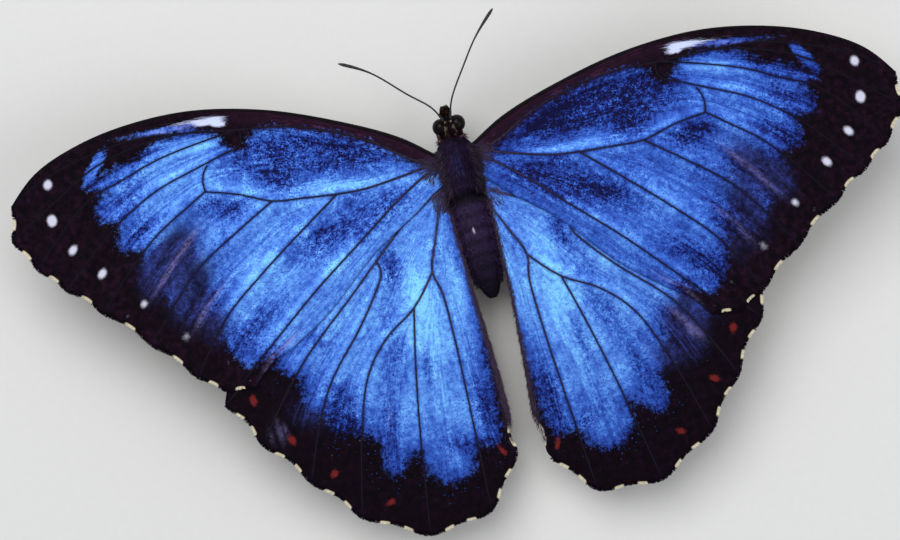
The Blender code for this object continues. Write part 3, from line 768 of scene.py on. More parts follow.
def wing_top_finish(wings):
    """The upper side: blue scales thinning to a dark border, with pale, rust and cream marks."""
    f = Finish("wing_top", IOR=1.45, Specular_IOR_Level=0.04)
    place = f.attribute("place", "Vector")
    across, out, _ = f.parts("lane")
    depth, rim, vein = f.parts("edges")
    white, rust, fringe = f.parts("marks")
    dusk, glow, lilac = f.parts("tones")
    flash, leading, hairy = f.parts("bands")
    right_wing_shade, hind, haze = f.parts("nature")

    speck = f.noise(place, 1.25, 3.5, 0.85) - 0.5
    mottle = f.streaks(5.0, 0.17, 3.5, 0.75) - 0.5
    cloud = f.noise(place, 0.26) - 0.5
    streak = f.streaks(9.0, 0.30) * 2.4 - 0.7
    fine_streak = f.streaks(26.0, 0.55, 1.0) * 2.6 - 0.8
    beside = (1.0 - (vein - 0.75).size() * 1.5).held()
    fold = (1.0 - (across.over_whole() - 0.5).size() * 6.5).held()
    fold = fold * (out * 0.08 - 1.7).held() * (1.0 - 0.6 * hind)
    pepper = ((0.37 + 0.16 * dusk + 0.7 * mottle - f.noise(place, 3.6, 0.5)) * 9.0).held()
    near_edge = (1.0 - depth * 0.42).held()

    # The tone darkens the right wings by a painted shade. The glow patches lighten the blue, partly as paler
    # scales and partly as a painted highlight.
    tone = (0.60 + 0.26 * glow - 0.46 * dusk - right_wing_shade + beside * (0.09 + 0.16 * dusk) - 0.22 * near_edge
            - fold * (0.16 + 1.2 * mottle) + speck * (0.85 + 1.8 * dusk) + mottle * (0.95 + 1.1 * dusk)
            + cloud * 0.12 - pepper * (0.20 + 0.12 * dusk) - (1.0 - depth * 0.16).held() * 0.12 * hind)
    scales = f.blend(
        f.ramp(tone, (0.04, wings.deep), (0.22, wings.navy), (0.47, wings.blue), (0.69, wings.sky),
               (0.93, wings.azure)),
        (linear(132, 130, 194), (lilac * (0.42 + 3.0 * mottle + 2.0 * speck)).held()))

    blue = (depth + (f.noise(place, 1.1) * 2.0 - 1.0) * 0.5 + mottle * 1.8 + speck * 4.0) * 0.9
    blue = (blue + 0.5).held()
    dust = (f.noise(place, 0.9, 3.0) * 2.4 - 0.95).held() * (0.5 + 2.0 * mottle + 3.0 * speck).held()
    stray = ((f.noise(place, 2.6, 1.0) - 0.675) * 12.0).held() * (1.0 + depth * 0.25).held() * hind
    border = f.blend(
        wings.border,
        (linear(46, 20, 42), dust * (1.0 - 0.55 * hind)),
        (linear(112, 106, 150), (lilac * (0.35 + 3.0 * speck)).held()),
        (wings.costa, leading * (0.30 + 0.5 * fine_streak).held()),
        (linear(96, 44, 66), (leading * (streak - 0.66) * 1.3).held()),
        (wings.blue, stray * 0.8))

    veil = (haze * (1.7 + 2.0 * mottle + 1.0 * speck)).held() * (depth * 0.25 + 0.95).held()
    dusky = f.ramp(0.5 + 2.2 * mottle + 1.6 * speck, (0.2, linear(18, 17, 42)), (0.55, linear(33, 36, 80)),
                   (0.9, linear(48, 58, 134)))
    crease = (lilac * (0.62 + 2.2 * mottle + 3.2 * speck)).held() * (haze * 2.0).held()
    pale = (flash * 2.2 + (streak - 0.5) * 1.3 + (fine_streak - 0.5) * 0.8 - 0.75).held()
    pale = pale * (flash * 4.0).held()
    skin = f.blend(
        border,
        (scales, blue),
        (dusky, veil * 0.92),
        (linear(126, 118, 172), crease),
        (linear(206, 214, 250), pale),
        (linear(58, 44, 66), (hairy * (0.55 + 0.8 * fine_streak)).held()),
        (linear(14, 14, 50), (1.15 - vein * 3.4).held() * (0.15 + 0.7 * blue)),
        (linear(206, 206, 226), ((white + speck * 0.5) * 3.2 - 0.05).held() * (white * 1.7 + 0.30).held()),
        (wings.rust, ((rust + speck * 0.9 - 0.06) * 3.4 + 0.4).held() * 0.82),
        (wings.cream, (fringe * 4.0 + 0.3).held() * ((0.16 - rim) * 8.0).held()))

    shine = (blue * (1.0 - pale)).held()
    height = 0.6 * f.cells(f.scaled(place, 1.0, 0.7, 1.0), 8.0) + 0.4 * fine_streak
    return f.done(Base_Color=skin, Metallic=0.30 * shine, Roughness=0.60 - 0.14 * shine + 0.5 * speck,
                  Normal=f.bump(height, 0.00004, 0.55))


def wing_under_finish(wings):
    """The underside: umber with wavy pale bands and yellow-ringed eyespots."""
    f = Finish("wing_under", IOR=1.45, Specular_IOR_Level=0.3)
    place = f.attribute("place", "Vector")
    _, rim, vein = f.parts("edges")
    ring, _, fringe = f.parts("under")
    grain = f.noise(place, 4.6, 1.0) * 3.0 - 1.0
    wave = f.noise(place, 0.35) * 2.0 - 1.0
    streak = f.streaks(12.0, 0.35) * 2.4 - 0.7
    olive = ((f.streaks(1.2, 0.085, 1.0) - 0.53) * 14.0).held()
    halo = f.ramp(ring, (0.0, linear(230, 230, 235)), (0.13, linear(225, 225, 235)),
                  (0.19, linear(16, 12, 16)), (0.50, linear(20, 13, 14)), (0.56, linear(206, 160, 62)),
                  (0.72, linear(196, 146, 60)), (0.78, linear(40, 24, 18)), (0.90, linear(46, 30, 22)))
    skin = f.blend(
        wings.umber,
        (linear(58, 40, 30), (0.5 * streak + 0.5 * grain).held()),
        (linear(176, 150, 108), (1.0 - (rim - 2.4 + 0.5 * wave).size() * 2.2).held() * 0.75),
        (linear(128, 92, 60), (1.0 - (rim - 1.3 + 0.3 * wave).size() * 3.4).held() * 0.8),
        (linear(150, 128, 92), olive * (0.45 + 0.4 * grain).held()),
        (linear(44, 28, 20), (1.0 - vein * 3.2).held() * 0.7),
        (halo, ((0.95 - ring) * 14.0).held()),
        (wings.cream, (fringe * 4.0 + 0.5).held() * ((0.34 - rim) * 6.0).held()))
    return f.done(Base_Color=skin, Roughness=0.70 + 0.1 * grain, Normal=f.bump(grain, 0.00003))


def vein_finish():
    """Veins: dark, bluer over the blue field, worn pale near the root, brown underneath."""
    f = Finish("wing_vein", IOR=1.45, Specular_IOR_Level=0.12)
    place = f.attribute("place", "Vector")
    grain = f.noise(place, 3.5) * 2.4 - 0.7
    worn = (f.attribute("bare") * (1.6 * f.noise(place, 0.9) + 0.6 * grain - 0.5)).held()
    skin = f.blend(
        linear(12, 7, 14),
        (linear(20, 24, 66), (f.attribute("glow") * (0.2 + 0.75 * grain)).held()),
        (linear(104, 92, 122), worn * 0.6),
        (linear(62, 42, 30), (f.attribute("below") * (0.8 + 0.3 * grain)).held()))
    return f.done(Base_Color=skin, Roughness=0.6 + 0.15 * grain, Normal=f.bump(grain, 0.00002))


def hair_finish(name, dark, light, roughness=0.62):
    """Hair whose colour runs with the shade and tint that its tuft carries."""
    f = Finish(name, IOR=1.45, Specular_IOR_Level=0.06)
    grain = f.noise(f.position(), 2600.0, 1.0) * 2.0 - 0.5
    base = f.blend(dark, (light, (f.attribute("shade") * (0.75 + 0.4 * grain)).held()))
    base = f.node("ShaderNodeMix", {"data_type": "RGBA", "blend_type": "MULTIPLY"},
                  {0: 1.0, 6: base, 7: f.attribute("tint", "Vector")}, 2)
    return f.done(Base_Color=base, Roughness=roughness + 0.1 * grain, Normal=f.bump(grain, 0.00002, 0.4))


def plate_finish(name, tone, roughness, grain_size=1500.0, variety=0.5, **fixed):
    """Horn-like plates: a mottled tone with a fine grain."""
    f = Finish(name, **fixed)
    broad = f.noise(f.position(), grain_size * 0.25, 3.0) * 2.0 - 0.5
    fine = f.noise(f.position(), grain_size) * 2.0 - 0.5
    base = f.blend(tone, (darker(tone), (variety * broad + 0.3 * fine).held()))
    return f.done(Base_Color=base, Roughness=roughness + 0.12 * fine, Normal=f.bump(fine, 0.00002))


def skin_finish(body):
    f = Finish("body_skin", IOR=1.45, Specular_IOR_Level=0.06)
    fine = f.noise(f.position(), 2200.0) * 2.0 - 0.5
    broad = f.noise(f.position(), 500.0, 3.0) * 2.0 - 0.5
    base = f.blend(
        body.brown,
        (body.mauve, (f.attribute("mauve") * (0.6 + 0.7 * fine)).held()),
        (body.belly, (f.attribute("belly") * (0.6 + 0.5 * fine)).held()),
        (darker(body.brown), (0.6 * broad).held()),
        (body.pale, (f.attribute("pale") * (0.5 + fine)).held()),
        (FLECK, f.attribute("fleck") * 0.8))
    return f.done(Base_Color=base, Roughness=0.58 + 0.15 * fine, Normal=f.bump(fine, 0.00003, 0.6))


def eye_finish(body):
    """Dark eyes, faintly mottled, with fine facets."""
    f = Finish("eye", IOR=1.5, Specular_IOR_Level=0.07, Coat_IOR=1.5, Coat_Roughness=0.1, Coat_Weight=0.05)
    band = f.noise(f.position(), 700.0) * 2.0 - 0.5
    tone = f.blend(body.eye, (linear(30, 19, 20), (0.55 * band).held()))
    return f.done(Base_Color=tone, Roughness=0.22 + 0.1 * band,
                  Normal=f.bump(f.cells(f.position(), 16000.0), 0.00001, 0.35))


def floor_finish(stage):
    f = Finish("floor", IOR=1.4, Specular_IOR_Level=0.2)
    grain = f.noise(f.position(), 900.0)
    return f.done(Base_Color=f.blend(stage.floor, ([0.96 * c for c in stage.floor], grain)),
                  Roughness=0.8 + 0.1 * grain)


# The wings.

class Wing:
    """One wing: its plane, its outline and the fields its pattern is painted from."""

    def __init__(self, pair, side, settings):
        self.fore = fore = pair == "fore"
        self.side = side
        self.forward = -1 if fore else 1
        self.name = f"{pair}wing_{SIDE_NAMES[side]}"
        self.root = (FORE_ROOTS if fore else HIND_ROOTS)[side]
        self.turn = -side * radians(FORE_SWEEPS[side]) if fore else 0.0
        self.tuck = 0.0 if fore else HIND_TUCK[side]
        self.lift = WING_LIFTS[pair]
        self.pleat = settings.pleat / MM
        self.fringe = settings.fringe / MM
        self.right_wing_shade = settings.right_wing_shade
        self.drawn = FORE_VEINS + FORE_CROSS if fore else HIND_VEINS[:-1]
        self.blue = curve(FORE_BLUE if fore else HIND_BLUE, 0.8)
        veins, stems = (FORE_VEINS, FORE_STEMS) if fore else (HIND_VEINS, HIND_STEMS)
        paths = [self.front(0.0), *(stems.get(k, []) + vein for k, vein in enumerate(veins)), self.inner(0.0)]
        self.lanes = [curve(path, 1.5) for path in paths]
        self.ribs = [curve(path, 1.2) for path in self.drawn]

    def front(self, start):
        return FORE_COSTA if self.fore else [(start, -1.9), *HIND_FRONT]

    def inner(self, tuck):
        if self.fore:
            return FORE_INNER
        return [HIND_VEIN_ENDS[-1], (0.5 * tuck - 0.7, 25.0), (0.75 * tuck - 0.25, 14.3), (tuck - 0.2, 0.6)]

    def edge(self, inset, spacing):
        """The scalloped edge, drawn in by `inset`: points, ways inwards, cells, shares along them, rooms."""
        ends, notch = (FORE_VEIN_ENDS, FORE_NOTCH) if self.fore else (HIND_VEIN_ENDS, HIND_NOTCH)
        points, span, ends = smooth_path(ends, spacing)
        along = unit(np.gradient(points, axis=0))
        inward = self.forward * columns(-along[:, 1], along[:, 0])
        cell = np.clip(np.searchsorted(ends, span, side="right") - 1, 0, len(ends) - 2)
        room = ends[cell + 1] - ends[cell]
        share = (span - ends[cell]) / room
        depth = notch * np.clip(room / NOTCH_WIDTH, 0.3, 1) * np.sin(pi * share) ** 2
        return points + inward * (depth + inset)[:, None], inward, cell, share, room

    def outline(self, inset, spacing):
        """The wing's whole outline, its scalloped edge drawn in by `inset`."""
        front = curve(self.front(self.tuck - 0.2), spacing)
        inner = curve(self.inner(self.tuck), spacing)
        trim = max(1, round(inset / spacing))
        return np.concatenate([front[:-trim], self.edge(inset, spacing)[0][1:-1], inner[trim:]])

    def rib_gap(self, places):
        """How far each place lies from the nearest vein."""
        return np.minimum(-OUTSIDE, np.min([gap_to(places, path) for path in self.ribs], axis=0))

    def lane(self, places):
        """Which vein a place lies by, from 0 at the leading edge to the last number at the inner one."""
        weights = np.array([(gap_to(places, path) + 0.05) ** -3 for path in self.lanes])
        return np.arange(len(weights)) @ weights / weights.sum(axis=0)

    def lay(self, places, above=0.0):
        """Body-frame points of places in the wing's plane, on the pleated sheet or a little above it."""
        x, y = self.side * places[:, 0], self.forward * places[:, 1]
        at_x = self.root[0] + x * cos(self.turn) - y * sin(self.turn)
        at_y = self.root[1] + x * sin(self.turn) + y * cos(self.turn)
        out = np.minimum(1.0, np.hypot(*places.T) / 14.0)
        relief = self.pleat * out * np.cos(pi * np.minimum(1.0, self.rib_gap(places) / 2.4))
        return columns(at_x, at_y, sheet_height(at_x, at_y) + self.lift + relief + above)

    def cream(self, places):
        """How deep each place lies in the nearest pale stretch of the fringe."""
        edge, _, cell, share, room = self.edge(self.fringe * 0.6, 0.1)
        size, wanted = FORE_CREAM if self.fore else HIND_CREAM
        best = np.full(len(places), OUTSIDE)
        for k in range(cell.max() + 1):
            here = np.flatnonzero(cell == k)
            for spot in wanted:
                nearest = here[np.argmin(np.abs(share[here] - spot))]
                half = size * min(1.0, room[nearest] / 5.5)
                best = np.maximum(best, half - np.hypot(*(places - edge[nearest]).T))
        return best

    def fields(self, places):
        """What the pattern is painted from, at each place."""
        whites, rusts, dusk, glow, lilac, haze, ocelli = (
            (FORE_WHITES, [], FORE_DUSK, FORE_PALE_AND_HIGHLIGHT, FORE_LILAC, FORE_HAZE, FORE_OCELLI) if self.fore else
            (HIND_WHITES, HIND_RUSTS, HIND_DUSK, HIND_PALE_AND_HIGHLIGHT, HIND_LILAC[self.side], HIND_HAZE[self.side],
             HIND_OCELLI))
        x, y = places.T
        radius = np.hypot(x, y)
        blue = depth_within(places, self.blue)
        if self.fore:
            blue = np.maximum(blue, np.clip(3.5 * spots(places, FORE_ISLANDS), OUTSIDE, 1.2))
            flash = patches(places, FORE_FLASH)
            leading = held(1.6 - gap_to(places, curve(FORE_COSTA, 1.2)) / 2.2) * held((36 - x) / 12)
            hairy = held(1.1 - radius / 2.4)
            deeper = 1.0 + 0.9 * bell(radius, 0, 13.0)
        else:
            flash = leading = 0.0
            hairy = np.maximum(held(0.4 - x) * held((40 - y) / 5), held(1.1 - radius / 2.6))
            deeper = 0.15
        right = self.side == RIGHT
        faint = 0.6 if self.fore and right else 1.0
        shift = RIGHT_SHIFT * right + HIND_SHIFT * (not self.fore)
        rim = gap_to(places, self.outline(self.fringe * 0.8, 0.6))
        fringe = self.cream(places)
        ring = np.min([0.9 * np.hypot(x - at_x, y - at_y) / size for at_x, at_y, size in ocelli], axis=0)
        return {
            "place": columns(x + shift, y, 0.0),
            "lane": columns(self.lane(places) + shift, radius, 0.0),
            "edges": columns(blue, rim, self.rib_gap(places)),
            "marks": columns(spots(places, whites), spots(places, rusts), fringe),
            "tones": columns(1.0 - np.exp(-1.15 * patches(places, dusk)), patches(places, glow),
                             patches(places, lilac) * faint),
            "bands": columns(flash, leading, hairy),
            "under": columns(np.minimum(ring, 2.0), 0.0, fringe),
            # The first number is the right wings' painted shade, strongest near the forewing's root.
            "nature": columns(self.right_wing_shade * right * deeper, float(not self.fore),
                              patches(places, haze) * faint),
        }


def wing_list(settings):
    return [Wing(pair, side, settings) for pair in ("fore", "hind") for side in (LEFT, RIGHT)]


def wing_sheet(wing, settings, top, under):
    """The membrane as a closed thin slab, its pattern's fields on its points."""
    grid = settings.grid / MM
    rim = wing.outline(wing.fringe * 0.8, grid)
    low, high = rim.min(axis=0), rim.max(axis=0)
    row = grid * sqrt(3) / 2
    xs = np.arange(low[0] + row / 2, high[0], row)
    ys = np.arange(low[1] + grid / 2, high[1], grid)
    gx, gy = np.meshgrid(xs, ys, indexing="ij")
    gy = gy + (np.arange(len(xs)) % 2)[:, None] * grid / 2
    fill = columns(gx.ravel(), gy.ravel())
    fill = fill[inside(fill, rim)]
    fill = fill[gap_to(fill, closed(rim)) > 0.5 * grid]
    corners = [Vector(p) for p in np.concatenate([rim, fill])]
    found, _, faces = delaunay_2d_cdt(corners, [], [list(range(len(rim)))], 1, 1e-6)[:3]
    used, faces = np.unique(np.array(faces), return_inverse=True)
    places, faces = np.array([tuple(p) for p in found])[used], faces.reshape(-1, 3)
    count = len(places)
    first = places[faces[0]]
    if np.linalg.det(first[1:] - first[0]) * wing.side * wing.forward < 0:
        faces = faces[:, ::-1]
    back = faces[:, ::-1]
    edges = [edge for face in faces.tolist() for edge in zip(face, face[1:] + face[:1])]
    known = set(edges)
    border = [(b, a, count + a, count + b) for a, b in edges if (b, a) not in known]
    half = settings.sheet / MM / 2
    points = np.concatenate([wing.lay(places, half), wing.lay(places, -half)])
    all_faces = [*faces, *(back + count), *border]
    span = high - low
    size = max(span[0], span[1] / UPPER_MAP[1])
    share = (places - low) / size
    upper_uv = share * UPPER_MAP[0] + MAP_EDGE
    lower_uv = share * UNDER_MAP[0] / (span[1] / size) + (MAP_EDGE, UNDER_MAP[1])
    uv = upper_uv[faces], lower_uv[back], upper_uv[np.array(border) % count]
    new_piece(wing.name + "_membrane", (points, all_faces), top, (wing.name,),
              attributes={key: np.tile(values, (2, 1)) for key, values in wing.fields(places).items()},
              uv=np.concatenate([each.reshape(-1, 2) for each in uv]),
              under=(under, [0] * len(faces) + [1] * len(faces) + [0] * len(border)))


def wing_veins(wing, settings, finish):
    """Veins as fine tubes that stand out of the membrane on both sides and taper towards the edge."""
    parts, fields = [], []
    outline = wing.outline(wing.fringe, 0.8)
    for path in wing.drawn + [FORE_COSTA] * wing.fore:
        line = curve(path, 0.7)
        line = line[line[:, 0] > wing.tuck - 0.4] if wing.tuck else line
        if len(line) < 4:
            continue
        out = np.hypot(*line.T)
        if path is FORE_COSTA:
            line = line - (0.0, 0.2)
            radii = 1.35 * np.clip(1.15 - out / 70.0, 0.3, 1)
            bare = 0.0
        else:
            radii = 0.62 + 0.38 * np.exp(-out / 20.0)
            radii *= np.clip(0.45 + gap_to(line, outline) / 3.0, 0.45, 1)
            bare = np.exp(-out / 16.0) * (0.5 if wing.fore else 1.0)
        parts.append(tube(wing.lay(line), radii * settings.vein / MM, VEIN_SIDES))
        blue = held(depth_within(line, wing.blue) / 2.0)
        fields.append(np.repeat(columns(*line.T, 0.0, blue, bare), VEIN_SIDES, axis=0))
    fields = np.concatenate(fields)
    below = np.tile((0.0, 0.0, 0.0, 0.0, 1.0, 1.0), len(fields) // VEIN_SIDES)
    new_piece(wing.name + "_veins", joined(parts), finish,
              attributes={"place": fields[:, :3], "glow": fields[:, 3] * (1 - below), "bare": fields[:, 4],
                          "below": below})


def wing_fringe(wing, finish, seed):
    """Scales that stand out from the outer edge, cream in the notches and dark over the vein ends."""
    rng = np.random.default_rng(seed)
    edge, inward = (np.repeat(values, 2, axis=0) for values in wing.edge(wing.fringe * 0.95, 0.11)[:2])
    edge = edge + rng.normal(0, 0.035, edge.shape)
    keep = edge[:, 0] > wing.tuck - 1.2
    edge, inward = edge[keep], inward[keep]
    reach = wing.fringe * rng.uniform(0.65, 1.0, len(edge))
    skew = rng.normal(0, 0.18, len(edge))
    way = -inward - columns(inward[:, 1], -inward[:, 0]) * skew[:, None]
    level = rng.uniform(-0.05, 0.05, len(edge))
    roots = wing.lay(edge)
    ways = wing.lay(edge + way * reach[:, None]) - roots
    up = np.tile(UP, (len(edge), 1))
    shape = blades(roots + up * level[:, None], ways, up, np.linalg.norm(ways, axis=1), 0.17, 0.05)
    shade = held(wing.cream(edge) * 6 + 0.5) * rng.uniform(0.75, 1.0, len(edge))
    new_piece(wing.name + "_fringe", shape, finish, smooth=False,
              attributes={"shade": np.repeat(shade, BLADE_POINTS), "tint": np.ones((len(shape[0]), 3))})


# The body.

def dome(values):
    return np.sqrt(np.maximum(0.0, values))


def eye_centre(side):
    return np.array(HEAD_CENTRE) + np.array(EYE_OFFSET) * (side, 1, 1)


def abdomen_share(y):
    return (y - ABDOMEN_SPAN[0]) / (ABDOMEN_SPAN[1] - ABDOMEN_SPAN[0])


def trunk(y):
    """Half width, half height, middle X and middle Z of the trunk at stations along it, coat included."""
    t = abdomen_share(y)
    head = dome(1 - ((y - HEAD_CENTRE[1]) / HEAD_HALF[1]) ** 2)
    front, back = THORAX_SPAN
    chest = dome(1 - (np.abs(2 * (y - front) / (back - front) - 1.06) * 0.90) ** 2.6)
    chest = np.where((y > front - 0.6) & (y < back + 0.6), chest, 0.0)
    tail = dome(1 - (np.maximum(0.0, t - 0.30) / 0.70) ** 2.5) * (t > -0.08)
    tail = tail * held(0.84 + 1.6 * np.maximum(t, 0))
    shares = np.stack([head, chest, tail, 0.42 * bell(y, -3.8, 1.0), 0.72 * bell(y, 5.1, 1.0)]) + 1e-4
    sunk = 0.35 + ABDOMEN_DROOP * np.maximum(0, t) ** 1.5
    wide, tall, middle_x, middle_z = zip(
        (HEAD_HALF[0], HEAD_HALF[2], HEAD_CENTRE[0], HEAD_CENTRE[2]),
        (*THORAX_HALF, THORAX_X, THORAX_Z),
        (ABDOMEN_RADIUS, ABDOMEN_RADIUS * 0.98, ABDOMEN_X, THORAX_Z - sunk),
        NECK, WAIST)
    nearest = shares ** 5 / (shares ** 5).sum(axis=0)
    halves = (sum((size * share) ** 7 for size, share in zip(sizes, shares)) ** (1 / 7)
              for sizes in (wide, tall))
    middles = (sum(at * share for at, share in zip(places, nearest)) for places in (middle_x, middle_z))
    return *halves, *middles


def skin_point(y, turn, inset):
    """Points of the skin, by station and angle round it (0 at the back's middle, positive to the left)."""
    wide, tall, middle_x, middle_z = trunk(y)
    t = abdomen_share(y)
    ring = (t * ABDOMEN_SEGMENTS) % 1
    plate = 0.055 * (ring ** 1.5 - 0.5) - 0.06 * bell(ring, 0.03, 0.05)
    plate = np.where((t > 0.03) & (t < 0.97), plate, 0)
    back = np.maximum(0, np.cos(turn))
    chest = (y > THORAX_SPAN[0] + 1) & (y < THORAX_SPAN[1] - 1.4)
    groove = np.where(chest, 0.09 * bell(turn, 0, 0.10), 0)
    shield = 0.16 * bell(y, 3.9, 0.55) * bell(turn, 0, 0.55)
    creases = (0.10 * bell(y, 3.1, 0.16) + 0.12 * bell(y, -2.4, 0.18)) * back
    grow = plate - groove + shield - creases - inset
    return columns(middle_x + (wide + grow) * np.sin(turn), y, middle_z + (tall + grow) * np.cos(turn))


def belly_share(turn):
    """How much a place belongs to the browner belly: none above the sides, all of it below."""
    return held(-np.cos(turn) * 1.3)


def body_shade(y, turn, points):
    """How mauve, how pale and how much in the back's fleck the skin and its hair are at a place."""
    t = abdomen_share(y)
    banded = 0.72 + 0.28 * np.cos(tau * t * ABDOMEN_SEGMENTS)
    mauve = np.where(t > 0.08, np.clip(1.15 - 1.5 * np.abs(t - 0.18), 0.1, 1) * banded, 0.32 * (y > -3.6))
    mauve = mauve * held(np.cos(turn) * 1.4) * (1 - 0.9 * bell(y, 5.3, 0.75))
    near = np.min([np.linalg.norm((points - eye_centre(side)) / EYE_HALF, axis=1) for side in (LEFT, RIGHT)],
                  axis=0)
    x, along, z = points.T
    behind = bell(near, 1.10, 0.09) * (along > -5.3)
    crown = sum(bell(np.hypot(x - HEAD_CENTRE[0] - side * out, along - at), 0, 0.12)
                for side in (LEFT, RIGHT) for out, at in CROWN_FLECKS) * (z > HEAD_CENTRE[2] + 0.8)
    nape = bell(along, -3.5, 0.3) * bell(np.abs(turn), 1.1, 0.3)
    pale = held(0.35 * behind + 0.6 * crown + 0.3 * nape) * (along < -3.0)
    fleck = np.exp(-(((x - 0.75) / 0.15) ** 2 + ((along - 10.5) / 0.38) ** 2) ** 2) * (z > THORAX_Z)
    return held(mauve + 0.08 * belly_share(turn)), pale, fleck


def body_uv(y, turn):
    """Where a place of the skin lies on its unwrap: round it across, along it up."""
    along = (y - STATIONS[0]) / (STATIONS[1] - STATIONS[0])
    return 0.02 + 0.95 * columns(turn / tau + 0.5, along)


def body_skin(settings, finish):
    """One skin from the brow to the tail, over the head, thorax and abdomen."""
    rows, around = SKIN_GRID
    inset = settings.coat / MM
    closer = 0.5 - 0.5 * np.cos(pi * np.linspace(0.012, 0.988, rows))
    share = 0.35 * closer + 0.65 * np.linspace(0, 1, rows)
    y = STATIONS[0] + inset + (STATIONS[1] - STATIONS[0] - 2 * inset) * share
    turns = -pi + tau * np.arange(around) / around
    station, turn = (grid.ravel() for grid in np.meshgrid(y, turns, indexing="ij"))
    points = skin_point(station, turn, inset)
    sides = np.array(ring_faces(rows, around))[:, [0, 3, 2, 1]]
    brow, end = np.arange(around)[::-1], np.arange(around) + (rows - 1) * around
    column = sides % around
    column[(np.ptp(column, axis=1) > 1)[:, None] & (column == 0)] = around
    corners = np.concatenate([sides.ravel(), brow, end])
    column = np.concatenate([column.ravel(), brow, end % around])
    mauve, pale, fleck = body_shade(station, turn, points)
    new_piece("body_skin", (points, [*sides, brow, end]), finish, ("head", "thorax", "abdomen"),
              attributes={"mauve": mauve, "pale": pale, "fleck": fleck, "belly": belly_share(turn)},
              uv=body_uv(y[corners // around], -pi + tau * column / around))


def coat(name, body, finish, span, count, seed, lengths, width, lift, splay, arc=None, down=0.0,
         bloom=(1.0, 1.0, 1.0), back=1.0):
    """Hair over one stretch of the skin, lying towards the tail, or out from both sides within an arc."""
    rng = np.random.default_rng(seed)
    inset = body.coat / MM
    y = rng.uniform(*span, count * 2)
    turn = rng.uniform(-pi, pi, count * 2)
    if arc:
        turn = np.sign(turn) * (arc[0] + (arc[1] - arc[0]) * np.abs(turn) / pi)
    wide = trunk(y)[0]
    keep = rng.uniform(0, 1, count * 2) < (wide / 2.9) * (0.45 + 0.55 * held(np.cos(turn) + 0.6))
    y, turn, wide = (values[keep][:count] for values in (y, turn, wide))
    here = skin_point(y, turn, inset)
    along = unit(skin_point(y + 0.12, turn, inset) - here)
    across = unit(skin_point(y, turn + 0.05, inset) - here)
    normal = unit(np.cross(along, across))
    normal *= np.sign((normal * columns(np.sin(turn), 0.0, np.cos(turn))).sum(axis=1))[:, None]
    aside = rng.normal(0, splay, len(y)) + down * np.sign(turn)
    raised = lift * rng.uniform(0.5, 1.3, len(y))
    ways = along * back + across * aside[:, None] + normal * raised[:, None]
    size = rng.uniform(*lengths, len(y)) * np.clip(0.35 + 0.3 * wide, 0.4, 1)
    mauve, pale, fleck = body_shade(y, turn, here)
    jitter = rng.uniform(0.5, 1.7, len(y))
    marked = np.maximum(pale * (pale > 0.25), fleck)
    shade = held(mauve * jitter * max(bloom)) * (1 - marked)
    sheen = np.outer(bell(turn, 0.05, 0.24) * bell(y, 0.2, 1.9), (0.3, 0.8, 1.8))
    joint = 1 - 0.6 * bell(y, 5.0, 0.8)
    tint = (jitter * joint)[:, None] * (1 + sheen) * (1 + np.outer(marked < 0.1, np.array(bloom) - 1))
    brown, belly, light = (np.array(tone) for tone in (body.brown, body.belly, body.pale))
    tint *= 1 + np.outer(belly_share(turn), belly / brown - 1)
    mark = np.where((fleck > pale)[:, None], FLECK, light)
    tint += (marked * rng.uniform(0.4, 0.8, len(y)))[:, None] * mark / brown
    hair_piece("coat_" + name, tufts(here, ways, normal, size, width, 0.35 * lift), finish,
               body_uv(y, turn), shade, tint)


def wing_hair(wing, finish, seed):
    """Long soft hair over a wing's base, and along the hind wing's inner edge."""
    rng = np.random.default_rng(seed)
    if wing.fore:
        radius = 2.6 * rng.uniform(0, 1, FORE_HAIRS) ** 0.8
        turn = rng.uniform(-1.3, 0.5, FORE_HAIRS)
        places = columns(radius * np.cos(turn), radius * np.sin(turn))
        size = rng.uniform(0.4, 1.1, FORE_HAIRS)
        ways = columns(np.cos(turn), np.sin(turn) - 0.2 + rng.normal(0, 0.3, FORE_HAIRS))
    else:
        few = HIND_BASE_HAIRS[wing.side]
        along = rng.uniform(1.0, 37.5, HIND_HAIRS)
        edge_x, edge_y = np.array([*reversed(wing.inner(wing.tuck)), (-0.5, 38.0)]).T
        broad = np.interp(along, [1.0, 12.0, 26.0, 36.0], [0.25, 0.22, 0.35, 0.5])
        off = np.abs(rng.normal(0, 1, HIND_HAIRS)) * broad
        inner = columns(np.interp(along, edge_y, edge_x) + off, along)
        base = columns(wing.tuck + 2.0 * rng.uniform(0, 1, few) ** 1.6, rng.uniform(-0.8, 2.2, few))
        places = np.concatenate([inner, base])
        size = np.append(rng.uniform(0.55, 1.1, HIND_HAIRS), rng.uniform(0.6, 1.2, few))
        ways = columns(rng.normal(-0.35, 0.25, len(places)), 1.0)
        ways[HIND_HAIRS:, 0] += 0.6
    outline = wing.outline(0.1, 0.8)
    keep = inside(places, outline)
    places, size, ways = places[keep], size[keep], ways[keep]
    roots, tips = wing.lay(places, HAIR_FOOT), wing.lay(places + ways * 0.5, HAIR_FOOT)
    up = np.tile(UP, (len(places), 1))
    ways = unit(tips - roots) + up * rng.uniform(0.02, 0.14, len(places))[:, None]
    low = outline.min(axis=0)
    hair_piece(wing.name + "_hair", tufts(roots, ways, up, size, 0.075, 0.08), finish,
               (places - low) / (outline.max(axis=0) - low).max() * 0.96 + 0.01,
               rng.uniform(0.1, 1.0, len(places)))


# The limbs.

def outwards(along, beside, turn):
    """Directions away from a line, at angles round it."""
    flat = unit(np.cross(along, beside))
    return flat * np.cos(turn)[:, None] + np.cross(along, flat) * np.sin(turn)[:, None]


